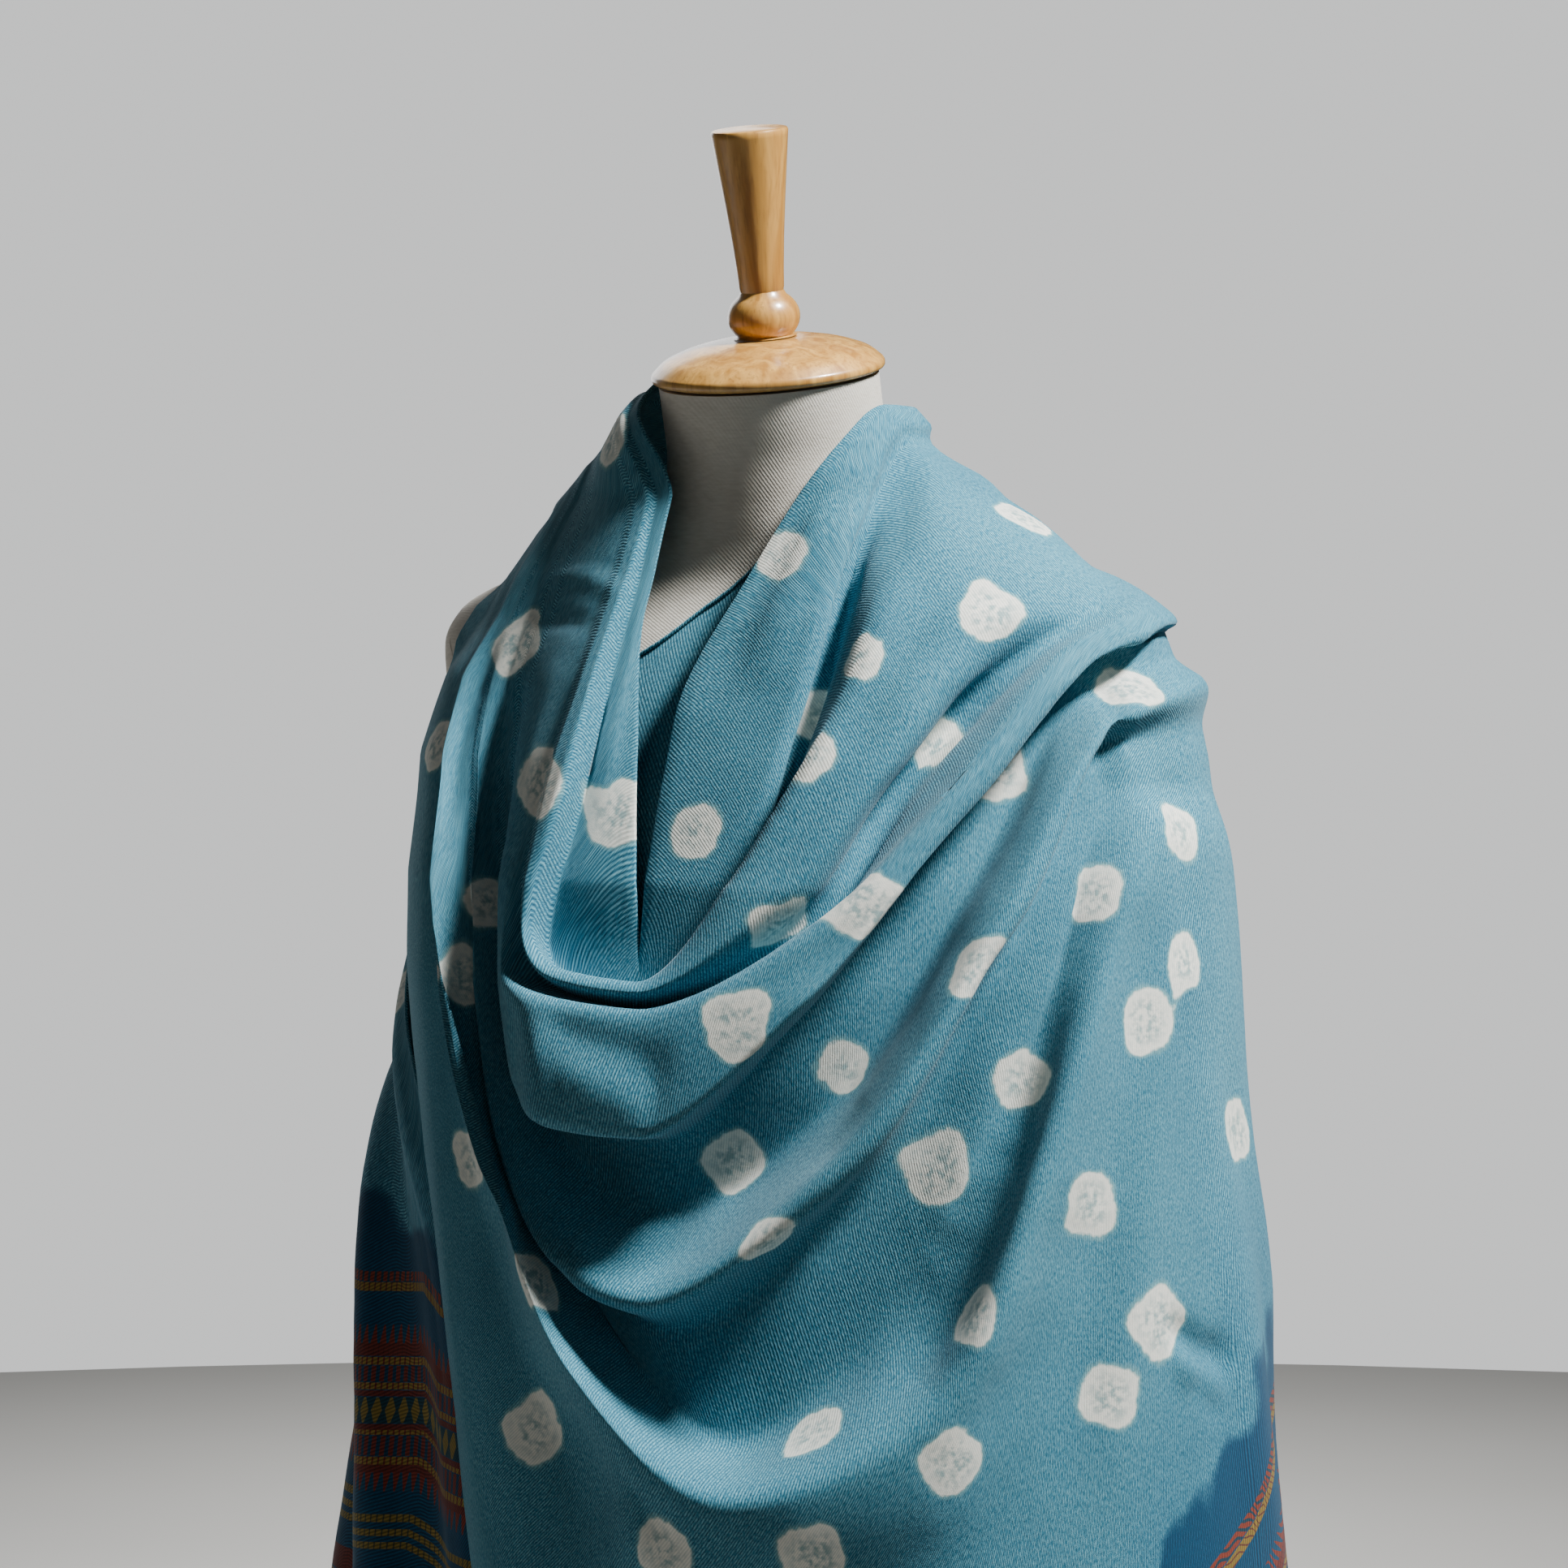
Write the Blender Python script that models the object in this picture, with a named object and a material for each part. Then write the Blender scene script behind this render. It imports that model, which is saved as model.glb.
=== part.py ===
"""Tie-dye wool shawl worn on a limbless dress form.

The form stands on a round base and faces -Y, with its own left at +X and +Z up.
The shawl is one rectangle of cloth. Its middle hangs as a deep cowl in front. One end passes over the
right shoulder beside the neck and hangs at the right side and the back. The other spreads over the left
shoulder like a cape and hangs behind. An inner fold of it lies on the chest, inside the cowl.

The cloth is described by fold lines that run from end to end, and by stations that cross them. Each
crossing has an azimuth, seen from above with 0 at the front and +90 at the form's left, and a height.
Sizes in the tables are centimetres and degrees, and CM turns them into metres.
"""

import math

import bmesh
import bpy
import numpy as np

CM = 0.01

# Driving dimensions, in centimetres
CLOTH_THICKNESS = 0.12
FORM_CLEARANCE = 0.32
INNER_FOLD_CLEARANCE = 0.16
SEAM_TRIM = 0.045
PIECE_GAP = 0.03
FORM_SEGMENTS = 32
FINIAL_SEGMENTS = 20
POLE_SEGMENTS = 20
PLATE_SEGMENTS = 24
BASE_SEGMENTS = 40
NECK_TILT = 11.0
TILT_START = 137.0
TILT_PER_HEIGHT = 1.3
NECK_TOP = 145.0
NECK_CENTRE_Y = -2.5
NECK_RADIUS = 5.6
BASE_RADIUS = 21.0
BASE_THICKNESS = 2.6
BASE_CHAMFER = 1.0
POLE_RADIUS = 1.6
PLATE_RADIUS = 6.0
PLATE_THICKNESS = 1.2
TORSO_BOTTOM = 72.0

# Colours, linear
DYED_WOOL = (0.13, 0.38, 0.48)
LINEN = (0.62, 0.58, 0.50)
BEECH = (0.62, 0.36, 0.12)
BLACK = (0.05, 0.05, 0.05)

# Torso rings: height, half width, half depth, centre Y
TORSO = [
    (72.0, 16.6, 11.2, 0.0),
    (76.0, 17.3, 11.8, 0.0),
    (82.0, 17.4, 12.0, 0.0),
    (90.0, 15.6, 11.0, 0.0),
    (100.0, 12.6, 9.4, 0.0),
    (107.0, 13.6, 10.0, 0.0),
    (114.0, 15.8, 11.8, -0.4),
    (120.0, 16.8, 12.2, -0.6),
    (125.0, 17.9, 10.8, -0.2),
    (129.0, 19.2, 9.4, 0.2),
    (131.5, 19.6, 8.4, 0.4),
    (133.2, 18.8, 7.6, 0.5),
    (134.4, 16.8, 7.0, 0.4),
    (135.4, 13.6, 6.6, 0.2),
    (136.4, 10.2, 6.4, 0.0),
    (137.6, 7.6, 6.2, -0.3),
    (139.4, 6.1, 5.9, -0.8),
    (142.0, 5.6, 5.6, -1.6),
]

# Cap on the neck: radius, height above the neck's top
CAP_PROFILE = [
    (5.75, 0.10),
    (5.95, 0.45),
    (5.85, 0.85),
    (5.20, 1.35),
    (3.90, 1.85),
    (2.30, 2.15),
]

# Turned finial above the cap: radius, height above the cap's top
FINIAL_PROFILE = [
    (1.75, 0.00),
    (1.85, 0.45),
    (1.83, 1.00),
    (1.60, 1.50),
    (1.22, 1.75),
    (1.28, 2.20),
    (1.22, 2.80),
    (1.30, 4.00),
    (1.55, 5.90),
    (1.85, 8.00),
    (1.95, 9.40),
    (1.80, 10.10),
    (1.30, 10.50),
]

# Body of air that the cloth wraps: height, then its radius to the right, left, front and back
WRAP = [
    (56.0, 26.5, 28.2, 20.6, 18.6),
    (70.0, 25.4, 27.6, 20.0, 18.0),
    (80.0, 24.4, 26.9, 19.4, 17.2),
    (90.0, 23.3, 26.1, 18.8, 16.2),
    (100.0, 22.3, 25.3, 18.2, 15.0),
    (110.0, 21.0, 24.3, 17.9, 14.4),
    (115.0, 20.8, 23.8, 17.6, 14.4),
    (120.0, 20.7, 23.2, 16.6, 14.4),
    (126.0, 20.3, 22.5, 14.2, 14.2),
    (130.0, 18.8, 21.7, 12.4, 13.6),
    (133.0, 16.4, 20.0, 11.0, 12.8),
    (135.0, 15.4, 17.4, 10.0, 11.6),
    (137.0, 13.8, 14.3, 9.2, 10.0),
    (139.0, 12.2, 11.0, 8.4, 8.4),
    (141.0, 10.7, 8.9, 8.4, 7.0),
    (143.0, 8.8, 7.4, 8.8, 6.0),
    (145.0, 6.4, 6.6, 9.3, 5.4),
]

STATIONS = (
    "back_r ridge_r top_r neck_r chest_r breast_r knee_r turn_r low "
    "knee_l breast_l chest_l shoulder_l back_l mid_l hem_l"
).split()

# At each station: how far the relief is open, and how much of it is the relief of the low point
GAIN = [0.4, 0.3, 0.3, 0.4, 0.6, 0.9, 1.0, 1.0, 1.0, 1.0, 0.9, 0.6, 0.3, 0.3, 0.6, 0.7]
LOW_SHARE = [0.0, 0.0, 0.0, 0.0, 0.0, 0.1, 0.5, 0.9, 1.0, 0.7, 0.2, 0.0, 0.0, 0.0, 0.0, 0.0]
LOW_STATION = STATIONS.index("low")

# Fold lines: name, then how far each stands out on the right arm of the cowl, at its low point and on
# its left arm
RELIEF = [
    ("inner", -1.9, -2.3, -1.7),
    ("strip", -1.6, -2.2, -0.6),
    ("cleft", -1.2, -1.4, -2.2),
    ("lip2", 0.7, 0.0, 0.5),
    ("roll", 0.5, 0.6, 1.0),
    ("groove", -0.2, -0.4, -1.0),
    ("lip1", 0.3, 0.9, 0.9),
    ("pouch", -0.3, 1.9, 1.0),
    ("brim", -0.9, 2.1, 0.9),
    ("tuck", -1.3, -0.9, -1.0),
    ("recess", -1.2, -1.5, -1.2),
    ("third", -0.8, 1.0, 0.6),
    ("under", -0.4, -0.9, -0.6),
    ("belly", 0.2, -1.0, -0.8),
    ("long", 0.9, 1.9, 1.0),
    ("panel", 0.1, 0.4, 0.2),
    ("side", 0.5, 0.6, 0.2),
    ("hem", -0.5, -0.3, 0.0),
]

# Fold lines: name, then an azimuth for each station
FOLD_AZIMUTHS = [
    ("inner", [-162, -100, -62, -21, -20, -13, -7, -6, -5, -5, -5, 13, 70, 164, 175, 178]),
    ("strip", [-160, -99, -63, -23, -21, -18, -19, -13, -5, 13, 27, 42, 75, 160, 172, 175]),
    ("cleft", [-158, -99, -65, -25, -23, -22, -24, -18, -3, 17, 29, 46, 80, 156, 169, 172]),
    ("lip2", [-156, -98, -66, -27, -24, -21, -22, -16, -1, 14, 31, 50, 79, 152, 166, 169]),
    ("roll", [-153, -98, -68, -30, -26, -24, -22, -16, 0, 21, 37, 57, 87, 147, 163, 166]),
    ("groove", [-151, -97, -69, -33, -29, -27, -24, -16, -1, 26, 45, 70, 94, 141, 159, 162]),
    ("lip1", [-149, -97, -69, -38, -32, -29, -25, -14, 1, 28, 47, 72, 93, 136, 155, 158]),
    ("pouch", [-146, -96, -69, -44, -38, -34, -21, -13, 2, 26, 48, 73, 93, 132, 151, 154]),
    ("brim", [-143, -96, -70, -51, -45, -36, -21, -11, 3, 25, 49, 74, 93, 128, 148, 151]),
    ("tuck", [-140, -96, -70, -57, -51, -40, -26, -14, 1, 27, 52, 76, 95, 125, 145, 148]),
    ("recess", [-136, -95, -71, -60, -54, -42, -25, -13, 1, 31, 54, 76, 96, 122, 141, 145]),
    ("third", [-132, -95, -71, -62, -56, -42, -25, -11, 3, 31, 52, 74, 94, 119, 137, 141]),
    ("under", [-128, -95, -72, -63, -57, -43, -25, -9, 3, 36, 55, 75, 95, 117, 133, 138]),
    ("belly", [-124, -94, -73, -64, -58, -43, -25, -5, 14, 41, 58, 76, 95, 115, 130, 134]),
    ("long", [-119, -94, -74, -66, -59, -44, -22, -6, 16, 42, 57, 76, 92, 112, 126, 131]),
    ("panel", [-114, -93, -75, -69, -62, -47, -30, -12, 5, 45, 65, 80, 94, 110, 121, 127]),
    ("side", [-110, -93, -77, -72, -66, -51, -38, -23, -3, 47, 70, 84, 94, 108, 116, 123]),
    ("hem", [-106, -92, -79, -77, -76, -69, -46, -20, -4, 50, 75, 90, 99, 106, 110, 118]),
]

# Fold lines: name, then a height for each station
FOLD_HEIGHTS = [
    ("inner", [142.5, 145.4, 144.9, 139, 133.4, 126.2, 119.2, 117.2, 116, 120, 128, 135.6, 143.6, 142.8, 100, 62]),
    ("strip", [142.2, 145.1, 144.7, 138.8, 132.9, 124, 118.1, 116, 114.8, 119.2, 128.7, 137.3, 142.8, 142.2, 99, 61.8]),
    ("cleft", [141.9, 144.8, 144.5, 138.6, 132.4, 123.9, 117.2, 115, 113.8, 119.2, 128.1, 136.5, 141.7, 141.6, 98, 61.6]),
    ("lip2", [141.5, 144.5, 144.3, 138.4, 132, 124.4, 118.3, 116, 115.5, 120.2, 127.6, 135.8, 139.3, 140.6, 97, 61.4]),
    ("roll", [141, 144.2, 144, 138.1, 131.4, 123.8, 117.6, 115.6, 115, 119.4, 125.3, 132.4, 137.6, 139.2, 95, 61.2]),
    ("groove", [140.4, 143.8, 143.7, 137.8, 131.2, 123.4, 116.3, 114.6, 114, 117.8, 124.9, 131.6, 135, 137.3, 93, 61]),
    ("lip1", [139.9, 143.3, 143.3, 137.5, 131, 122.6, 115.7, 114.6, 114.3, 118.3, 124.1, 132.1, 134, 135.8, 91.5, 60.8]),
    ("pouch", [139.3, 142.7, 142.8, 137.3, 131, 121.8, 113.1, 112.2, 111.2, 116, 124.3, 131.7, 133.3, 134.2, 90, 60.7]),
    ("brim", [138.7, 141.9, 142, 137.1, 130.9, 121.3, 110.3, 108.6, 108.3, 114.5, 123.9, 131.3, 132.7, 132.8, 88.5, 60.6]),
    ("tuck", [138.2, 141.4, 141.6, 136.9, 130.8, 121, 109.4, 107.9, 107.6, 113.4, 123.2, 130.9, 132.2, 131.4, 87, 60.5]),
    ("recess", [137.6, 140.8, 141.1, 136.8, 130.7, 120.8, 107.9, 104.8, 104, 109.4, 119.8, 129.6, 131, 129.4, 85, 60.4]),
    ("third", [137, 140.2, 140.6, 136.7, 130.6, 120.6, 107.1, 101.9, 100.2, 106.9, 118, 128.3, 129.5, 126.8, 82.5, 60.3]),
    ("under", [136.3, 139.6, 140, 136.5, 130.5, 120.5, 106.6, 100, 98.2, 104.8, 115.6, 126.7, 127.4, 123.6, 80, 60.2]),
    ("belly", [135.6, 139, 139.4, 136.4, 130.4, 120.4, 106, 96.8, 93.3, 100.1, 112.1, 124.9, 124.8, 119, 77, 60.2]),
    ("long", [134.7, 138.4, 138.8, 136.2, 130.3, 120.3, 106.2, 96.8, 91, 95.3, 108.4, 122, 121, 112, 73, 60.1]),
    ("panel", [133.7, 137.7, 138, 136, 130, 120.1, 104.6, 92, 81.5, 86.8, 98.4, 110.5, 109, 98, 68, 60.1]),
    ("side", [132.7, 137, 137.2, 135.8, 129.7, 120, 105.2, 87.5, 75, 77.6, 86.2, 96, 94.5, 80, 64, 60.1]),
    ("hem", [131.7, 136.3, 136.4, 135.4, 129.2, 119.5, 105, 76, 65.5, 63.5, 62.5, 62, 61.5, 61, 60.6, 60]),
]

# Levels of the end at the right side, from its hem up to the right shoulder: azimuth of its edge at the
# back and of its forward edge, height of each, how far its folds are open
RIGHT_END = [
    ("edge", -177, -4, 62.0, 60.5, 1.0),
    ("hip", -176, -16, 82.0, 81.0, 1.0),
    ("waist", -174, -34, 102.0, 100.0, 0.6),
    ("blade", -171, -82, 122.0, 117.0, 0.5),
]
RIGHT_END_FOLDS = 7
RIGHT_END_RELIEF = 0.9
RIGHT_END_FOLD_DRIFT = 0.8
RIGHT_END_FOLD_DRIFT_RATE = 5.0

# The right end's forward edge lies behind the front panel: how far in, from which azimuth, over how much
RIGHT_END_SET_BACK = -1.3
SET_BACK_AZIMUTH = -64.0
SET_BACK_SPREAD = 16.0

# Steps of the mesh across the cloth, from each fold line to the next
STEPS_ACROSS = [2, 2, 2, 2, 2, 2, 3, 3, 2, 2, 3, 2, 3, 3, 4, 4, 4]

# Stretches of the cloth: node, first and last level, steps along it. Levels count from the hem of the
# right end, and the stations follow its own four.
STRETCHES = [
    ("shawl_right_end", 0.0, 4.0, 11),
    ("shawl_right_shoulder", 4.0, 7.5, 11),
    ("shawl_front_cowl", 7.5, 15.0, 37),
    ("shawl_left_cape", 15.0, 17.0, 9),
    ("shawl_left_end", 17.0, 19.0, 7),
]
INNER_FOLD_STEPS = (13, 9)

# Inner fold on the chest: height of its upper and lower edges at even steps from its left end
INNER_FOLD_AZIMUTHS = (24.0, -36.0)
INNER_FOLD_EDGES = [
    (137.6, 126.0),
    (135.8, 123.0),
    (134.4, 122.0),
    (133.2, 121.5),
    (131.6, 121.5),
    (130.2, 122.0),
]


def hermite(values, position):
    """Monotone cubic through evenly spaced values along the first axis."""
    values = np.asarray(values, dtype=float)
    steps = np.diff(values, axis=0)
    before = steps[:-1]
    after = steps[1:]
    same_way = before * after > 0
    total = np.where(same_way, before + after, 1.0)
    inner = np.where(same_way, 2.0 * before * after / total, 0.0)
    slopes = np.concatenate([steps[:1], inner, steps[-1:]])
    cell = np.clip(np.floor(position).astype(int), 0, len(values) - 2)
    x = (position - cell).reshape((-1,) + (1,) * (values.ndim - 1))
    a = values[cell]
    b = values[cell + 1]
    da = slopes[cell]
    db = slopes[cell + 1]
    return (
        a * (2 * x**3 - 3 * x**2 + 1)
        + b * (3 * x**2 - 2 * x**3)
        + da * (x**3 - 2 * x**2 + x)
        + db * (x**3 - x**2)
    )


def wrap_radius(azimuth, height):
    """Radius of the wrapped body at an azimuth and a height, in centimetres."""
    heights, right, left, front, back = np.array(WRAP).T
    sine = np.sin(np.radians(azimuth))
    cosine = np.cos(np.radians(azimuth))
    side = np.where(sine >= 0, np.interp(height, heights, left), np.interp(height, heights, right))
    face = np.where(cosine >= 0, np.interp(height, heights, front), np.interp(height, heights, back))
    return 1.0 / np.sqrt((sine / side) ** 2 + (cosine / face) ** 2)


def form_radius(azimuth, height):
    """Radius of the form at an azimuth and a height, or zero above and below it."""
    heights, widths, depths, centres = np.array(TORSO + [(NECK_TOP, NECK_RADIUS, NECK_RADIUS, NECK_CENTRE_Y)]).T
    width = np.interp(height, heights, widths)
    depth = np.interp(height, heights, depths)
    centre = np.interp(height, heights, centres)
    sine = np.sin(np.radians(azimuth))
    cosine = np.cos(np.radians(azimuth))
    square = (sine / width) ** 2 + (cosine / depth) ** 2
    half = cosine * centre / depth**2
    root = np.sqrt(np.maximum(half**2 - square * ((centre / depth) ** 2 - 1.0), 0.0))
    radius = (root - half) / square
    inside = (height > heights[0]) & (height < heights[-1] + 1.5)
    return np.where(inside, radius, 0.0)


def resting_radius(azimuth, height, clearance=FORM_CLEARANCE):
    """Radius at which cloth lies on the form."""
    return form_radius(azimuth, height - clearance) + clearance


def to_point(azimuth, height, relief):
    """Point in metres at an azimuth, a height and a distance out of the wrapped body."""
    radius = np.maximum(wrap_radius(azimuth, height) + relief, resting_radius(azimuth, height))
    angle = np.radians(azimuth)
    return np.stack([radius * np.sin(angle), -radius * np.cos(angle), height], axis=-1) * CM


def relief_table():
    """Relief at each station of each fold line."""
    right, low, left = np.array([row[1:] for row in RELIEF]).T
    rows = []
    for station, (gain, share) in enumerate(zip(GAIN, LOW_SHARE)):
        arm = right if station < LOW_STATION else left
        rows.append(gain * (share * low + (1 - share) * arm))
    return np.array(rows)


def station_lines(across):
    """Azimuth, height and relief along every station, at places counted in fold lines."""
    azimuths = np.array([row[1] for row in FOLD_AZIMUTHS])
    heights = np.array([row[1] for row in FOLD_HEIGHTS])
    table = np.stack([azimuths, heights, relief_table().T], axis=-1)
    return np.swapaxes(hermite(table, across), 0, 1)


def right_end_lines(across):
    """Azimuth, height and relief along every level of the right end."""
    lines = []
    share = across / (len(RELIEF) - 1.0)
    drift = RIGHT_END_FOLD_DRIFT * np.sin(RIGHT_END_FOLD_DRIFT_RATE * share)
    wave = np.sin(2 * math.pi * RIGHT_END_FOLDS * share + drift)
    for _, back, forward, back_height, forward_height, opening in RIGHT_END:
        azimuth = back * (1 - share) + forward * share
        height = back_height * (1 - share) + forward_height * share
        tucked = RIGHT_END_SET_BACK * np.clip((azimuth - SET_BACK_AZIMUTH) / SET_BACK_SPREAD, 0.0, 1.0)
        lines.append(np.stack([azimuth, height, RIGHT_END_RELIEF * opening * wave + tucked], axis=-1))
    return np.array(lines)


def main_cloth(along, across):
    """Grid of points for levels along the cloth and places across it, counted in fold lines."""
    lines = np.concatenate([right_end_lines(across), station_lines(across)])
    grid = hermite(lines, along)
    return to_point(grid[..., 0], grid[..., 1], grid[..., 2])


def trimmed(points):
    """Grid of points with both ends cut back by the trim of a seam."""
    points = points.copy()
    for end, neighbour in ((0, 1), (-1, -2)):
        step = points[neighbour] - points[end]
        points[end] += SEAM_TRIM * CM * step / np.linalg.norm(step, axis=-1, keepdims=True)
    return points


def inner_fold(along, across):
    """Grid of points for the fold that lies on the chest inside the cowl."""
    start, end = INNER_FOLD_AZIMUTHS
    azimuth = (start + (end - start) * along)[:, None] + 0.0 * across
    edges = hermite(np.array(INNER_FOLD_EDGES), along * (len(INNER_FOLD_EDGES) - 1.0))
    height = edges[:, :1] * (1 - across) + edges[:, 1:] * across
    radius = resting_radius(azimuth, height, INNER_FOLD_CLEARANCE)
    angle = np.radians(azimuth)
    return np.stack([radius * np.sin(angle), -radius * np.cos(angle), height], axis=-1) * CM


def new_object(name, builder, colour, roughness):
    """Object with a mesh and its own material."""
    mesh = bpy.data.meshes.new(name)
    builder.to_mesh(mesh)
    builder.free()
    mesh.shade_smooth()
    part = bpy.data.objects.new(name, mesh)
    bpy.context.scene.collection.objects.link(part)
    material = bpy.data.materials.new(name)
    material.use_nodes = True
    surface = material.node_tree.nodes["Principled BSDF"]
    surface.inputs["Base Color"].default_value = (*colour, 1.0)
    surface.inputs["Roughness"].default_value = roughness
    surface.inputs["Metallic"].default_value = 0.0
    mesh.materials.append(material)
    return part


def add_cloth(name, points):
    """Thin wall along a grid of points."""
    rows, columns = points.shape[:2]
    builder = bmesh.new()
    bmesh.ops.create_grid(builder, x_segments=columns - 1, y_segments=rows - 1, size=0.5)
    builder.verts.ensure_lookup_table()
    for vertex, place in zip(builder.verts, points.reshape(-1, 3)):
        vertex.co = place
    cloth = new_object(name, builder, DYED_WOOL, 0.85)
    wall = cloth.modifiers.new("wall", "SOLIDIFY")
    wall.thickness = CLOTH_THICKNESS * CM
    wall.offset = 0.0
    return cloth


def add_rings(name, rings, colour, roughness):
    """Closed solid through rings of points."""
    builder = bmesh.new()
    loops = []
    for ring in rings:
        circle = bmesh.ops.create_circle(builder, segments=len(ring), radius=1.0)["verts"]
        for vertex, place in zip(circle, ring):
            vertex.co = place
        loops.append(circle)
    for lower, upper in zip(loops, loops[1:]):
        edges = [edge for edge in builder.edges if set(edge.verts) <= set(lower)]
        edges += [edge for edge in builder.edges if set(edge.verts) <= set(upper)]
        bmesh.ops.bridge_loops(builder, edges=edges)
    for end in (loops[0], loops[-1]):
        bmesh.ops.contextual_create(builder, geom=[e for e in builder.edges if set(e.verts) <= set(end)])
    bmesh.ops.recalc_face_normals(builder, faces=builder.faces)
    return new_object(name, builder, colour, roughness)


def level_ring(radius_x, radius_y, centre_y, height, tilt=0.0, segments=FORM_SEGMENTS):
    """Oval ring in metres; a tilt lowers its front."""
    ring = []
    for step in range(segments):
        angle = 2 * math.pi * step / segments
        x = radius_x * math.cos(angle)
        y = radius_y * math.sin(angle)
        turn = math.radians(tilt)
        ring.append((x * CM, (centre_y + y * math.cos(turn)) * CM, (height + y * math.sin(turn)) * CM))
    return ring


def round_ring(radius, height, segments):
    """Level round ring on the pole's axis."""
    return level_ring(radius, radius, 0.0, height, segments=segments)


def neck_ring(radius, lift, segments):
    """Ring around the neck's leaning axis, a given distance above the neck's top."""
    lean = math.radians(NECK_TILT)
    centre_y = NECK_CENTRE_Y - lift * math.sin(lean)
    return level_ring(radius, radius, centre_y, NECK_TOP + lift * math.cos(lean), NECK_TILT, segments)


def add_form():
    """Linen torso, its cap, finial and stand."""
    rings = []
    for height, width, depth, centre_y in TORSO:
        tilt = max(0.0, (height - TILT_START) * TILT_PER_HEIGHT)
        rings.append(level_ring(width, depth, centre_y, height, tilt))
    rings.append(neck_ring(NECK_RADIUS, 0.0, FORM_SEGMENTS))
    add_rings("form_torso", rings, LINEN, 0.9)

    cap = [neck_ring(radius, lift, FORM_SEGMENTS) for radius, lift in CAP_PROFILE]
    add_rings("form_neck_cap", cap, BEECH, 0.3)
    cap_top = CAP_PROFILE[-1][1] + PIECE_GAP
    finial = [neck_ring(radius, cap_top + lift, FINIAL_SEGMENTS) for radius, lift in FINIAL_PROFILE]
    add_rings("form_finial", finial, BEECH, 0.3)

    plate_top = TORSO_BOTTOM - PIECE_GAP
    plate_bottom = plate_top - PLATE_THICKNESS
    plate = [round_ring(PLATE_RADIUS, height, PLATE_SEGMENTS) for height in (plate_bottom, plate_top)]
    add_rings("form_socket_plate", plate, BLACK, 0.45)

    base = [
        round_ring(BASE_RADIUS, 0.0, BASE_SEGMENTS),
        round_ring(BASE_RADIUS, BASE_THICKNESS - BASE_CHAMFER, BASE_SEGMENTS),
        round_ring(BASE_RADIUS - BASE_CHAMFER, BASE_THICKNESS, BASE_SEGMENTS),
    ]
    add_rings("form_base", base, BLACK, 0.45)
    pole_ends = (BASE_THICKNESS + PIECE_GAP, plate_bottom - PIECE_GAP)
    pole = [round_ring(POLE_RADIUS, height, POLE_SEGMENTS) for height in pole_ends]
    add_rings("form_pole", pole, BLACK, 0.45)


def across_places():
    """Places of the mesh's lines across the cloth, counted in fold lines."""
    places = [0.0]
    for line, steps in enumerate(STEPS_ACROSS):
        places += [line + (step + 1) / steps for step in range(steps)]
    return np.array(places)


def add_shawl():
    """Stretches of the shawl."""
    across = across_places()
    for name, first, last, steps in STRETCHES:
        along = np.linspace(first, last, steps + 1)
        add_cloth(name, trimmed(main_cloth(along, across)))
    steps_along, steps_down = INNER_FOLD_STEPS
    fold = inner_fold(np.linspace(0.0, 1.0, steps_along + 1), np.linspace(0.0, 1.0, steps_down + 1))
    add_cloth("shawl_inner_fold", fold)


def main():
    for leftover in list(bpy.data.objects):
        bpy.data.objects.remove(leftover)
    add_form()
    add_shawl()


main()
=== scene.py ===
# %% [markdown]
# # A tie-dye wool shawl on a dress form
#
# The object is one long rectangle of fine wool, dyed blue with white tied spots, and worn on a limbless
# linen form. Its middle hangs as a deep cowl in front, and its two ends hang down the sides and the back.
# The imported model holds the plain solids. This script dresses them: it makes a fine sheet on the form of
# the cloth, adds the small creases, and gives each surface its material.

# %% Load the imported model
import math

import bmesh
import bpy
import numpy as np
from mathutils import Matrix, Vector, noise
from mathutils.bvhtree import BVHTree


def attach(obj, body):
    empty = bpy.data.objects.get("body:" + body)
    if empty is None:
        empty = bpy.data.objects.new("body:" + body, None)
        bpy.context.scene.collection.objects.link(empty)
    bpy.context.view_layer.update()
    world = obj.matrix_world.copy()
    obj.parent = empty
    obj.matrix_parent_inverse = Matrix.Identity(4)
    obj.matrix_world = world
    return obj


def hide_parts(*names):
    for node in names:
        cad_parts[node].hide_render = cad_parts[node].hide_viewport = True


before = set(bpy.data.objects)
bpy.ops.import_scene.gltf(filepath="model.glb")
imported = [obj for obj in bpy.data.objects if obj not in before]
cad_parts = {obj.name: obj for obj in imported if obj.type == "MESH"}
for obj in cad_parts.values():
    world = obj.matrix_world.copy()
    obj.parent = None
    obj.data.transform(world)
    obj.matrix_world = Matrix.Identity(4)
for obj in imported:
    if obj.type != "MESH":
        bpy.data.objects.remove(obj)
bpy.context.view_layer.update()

CM = 0.01
MM = 0.001
print("nodes:", sorted(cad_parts))

# %% [markdown]
# ## Camera
#
# The view is the one of the photograph: a long lens from the left front of the form, a little above it.
# The direction in which it looks is worked out from two angles. A pixel of the picture can then be turned
# into a ray, and a ray finds the place on the cloth where a spot or a crease belongs.

# %% Place the camera
PICTURE = 1932.0
PIXELS_PER_CM = 24.0
CAMERA_TURN = math.radians(24.0)
CAMERA_DIP = math.radians(2.5)
CAMERA_DISTANCE = 260.0 * CM
AIM_HEIGHT = 124.33 * CM
AIM_SIDE = -0.25 * CM
SENSOR = 36.0

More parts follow.
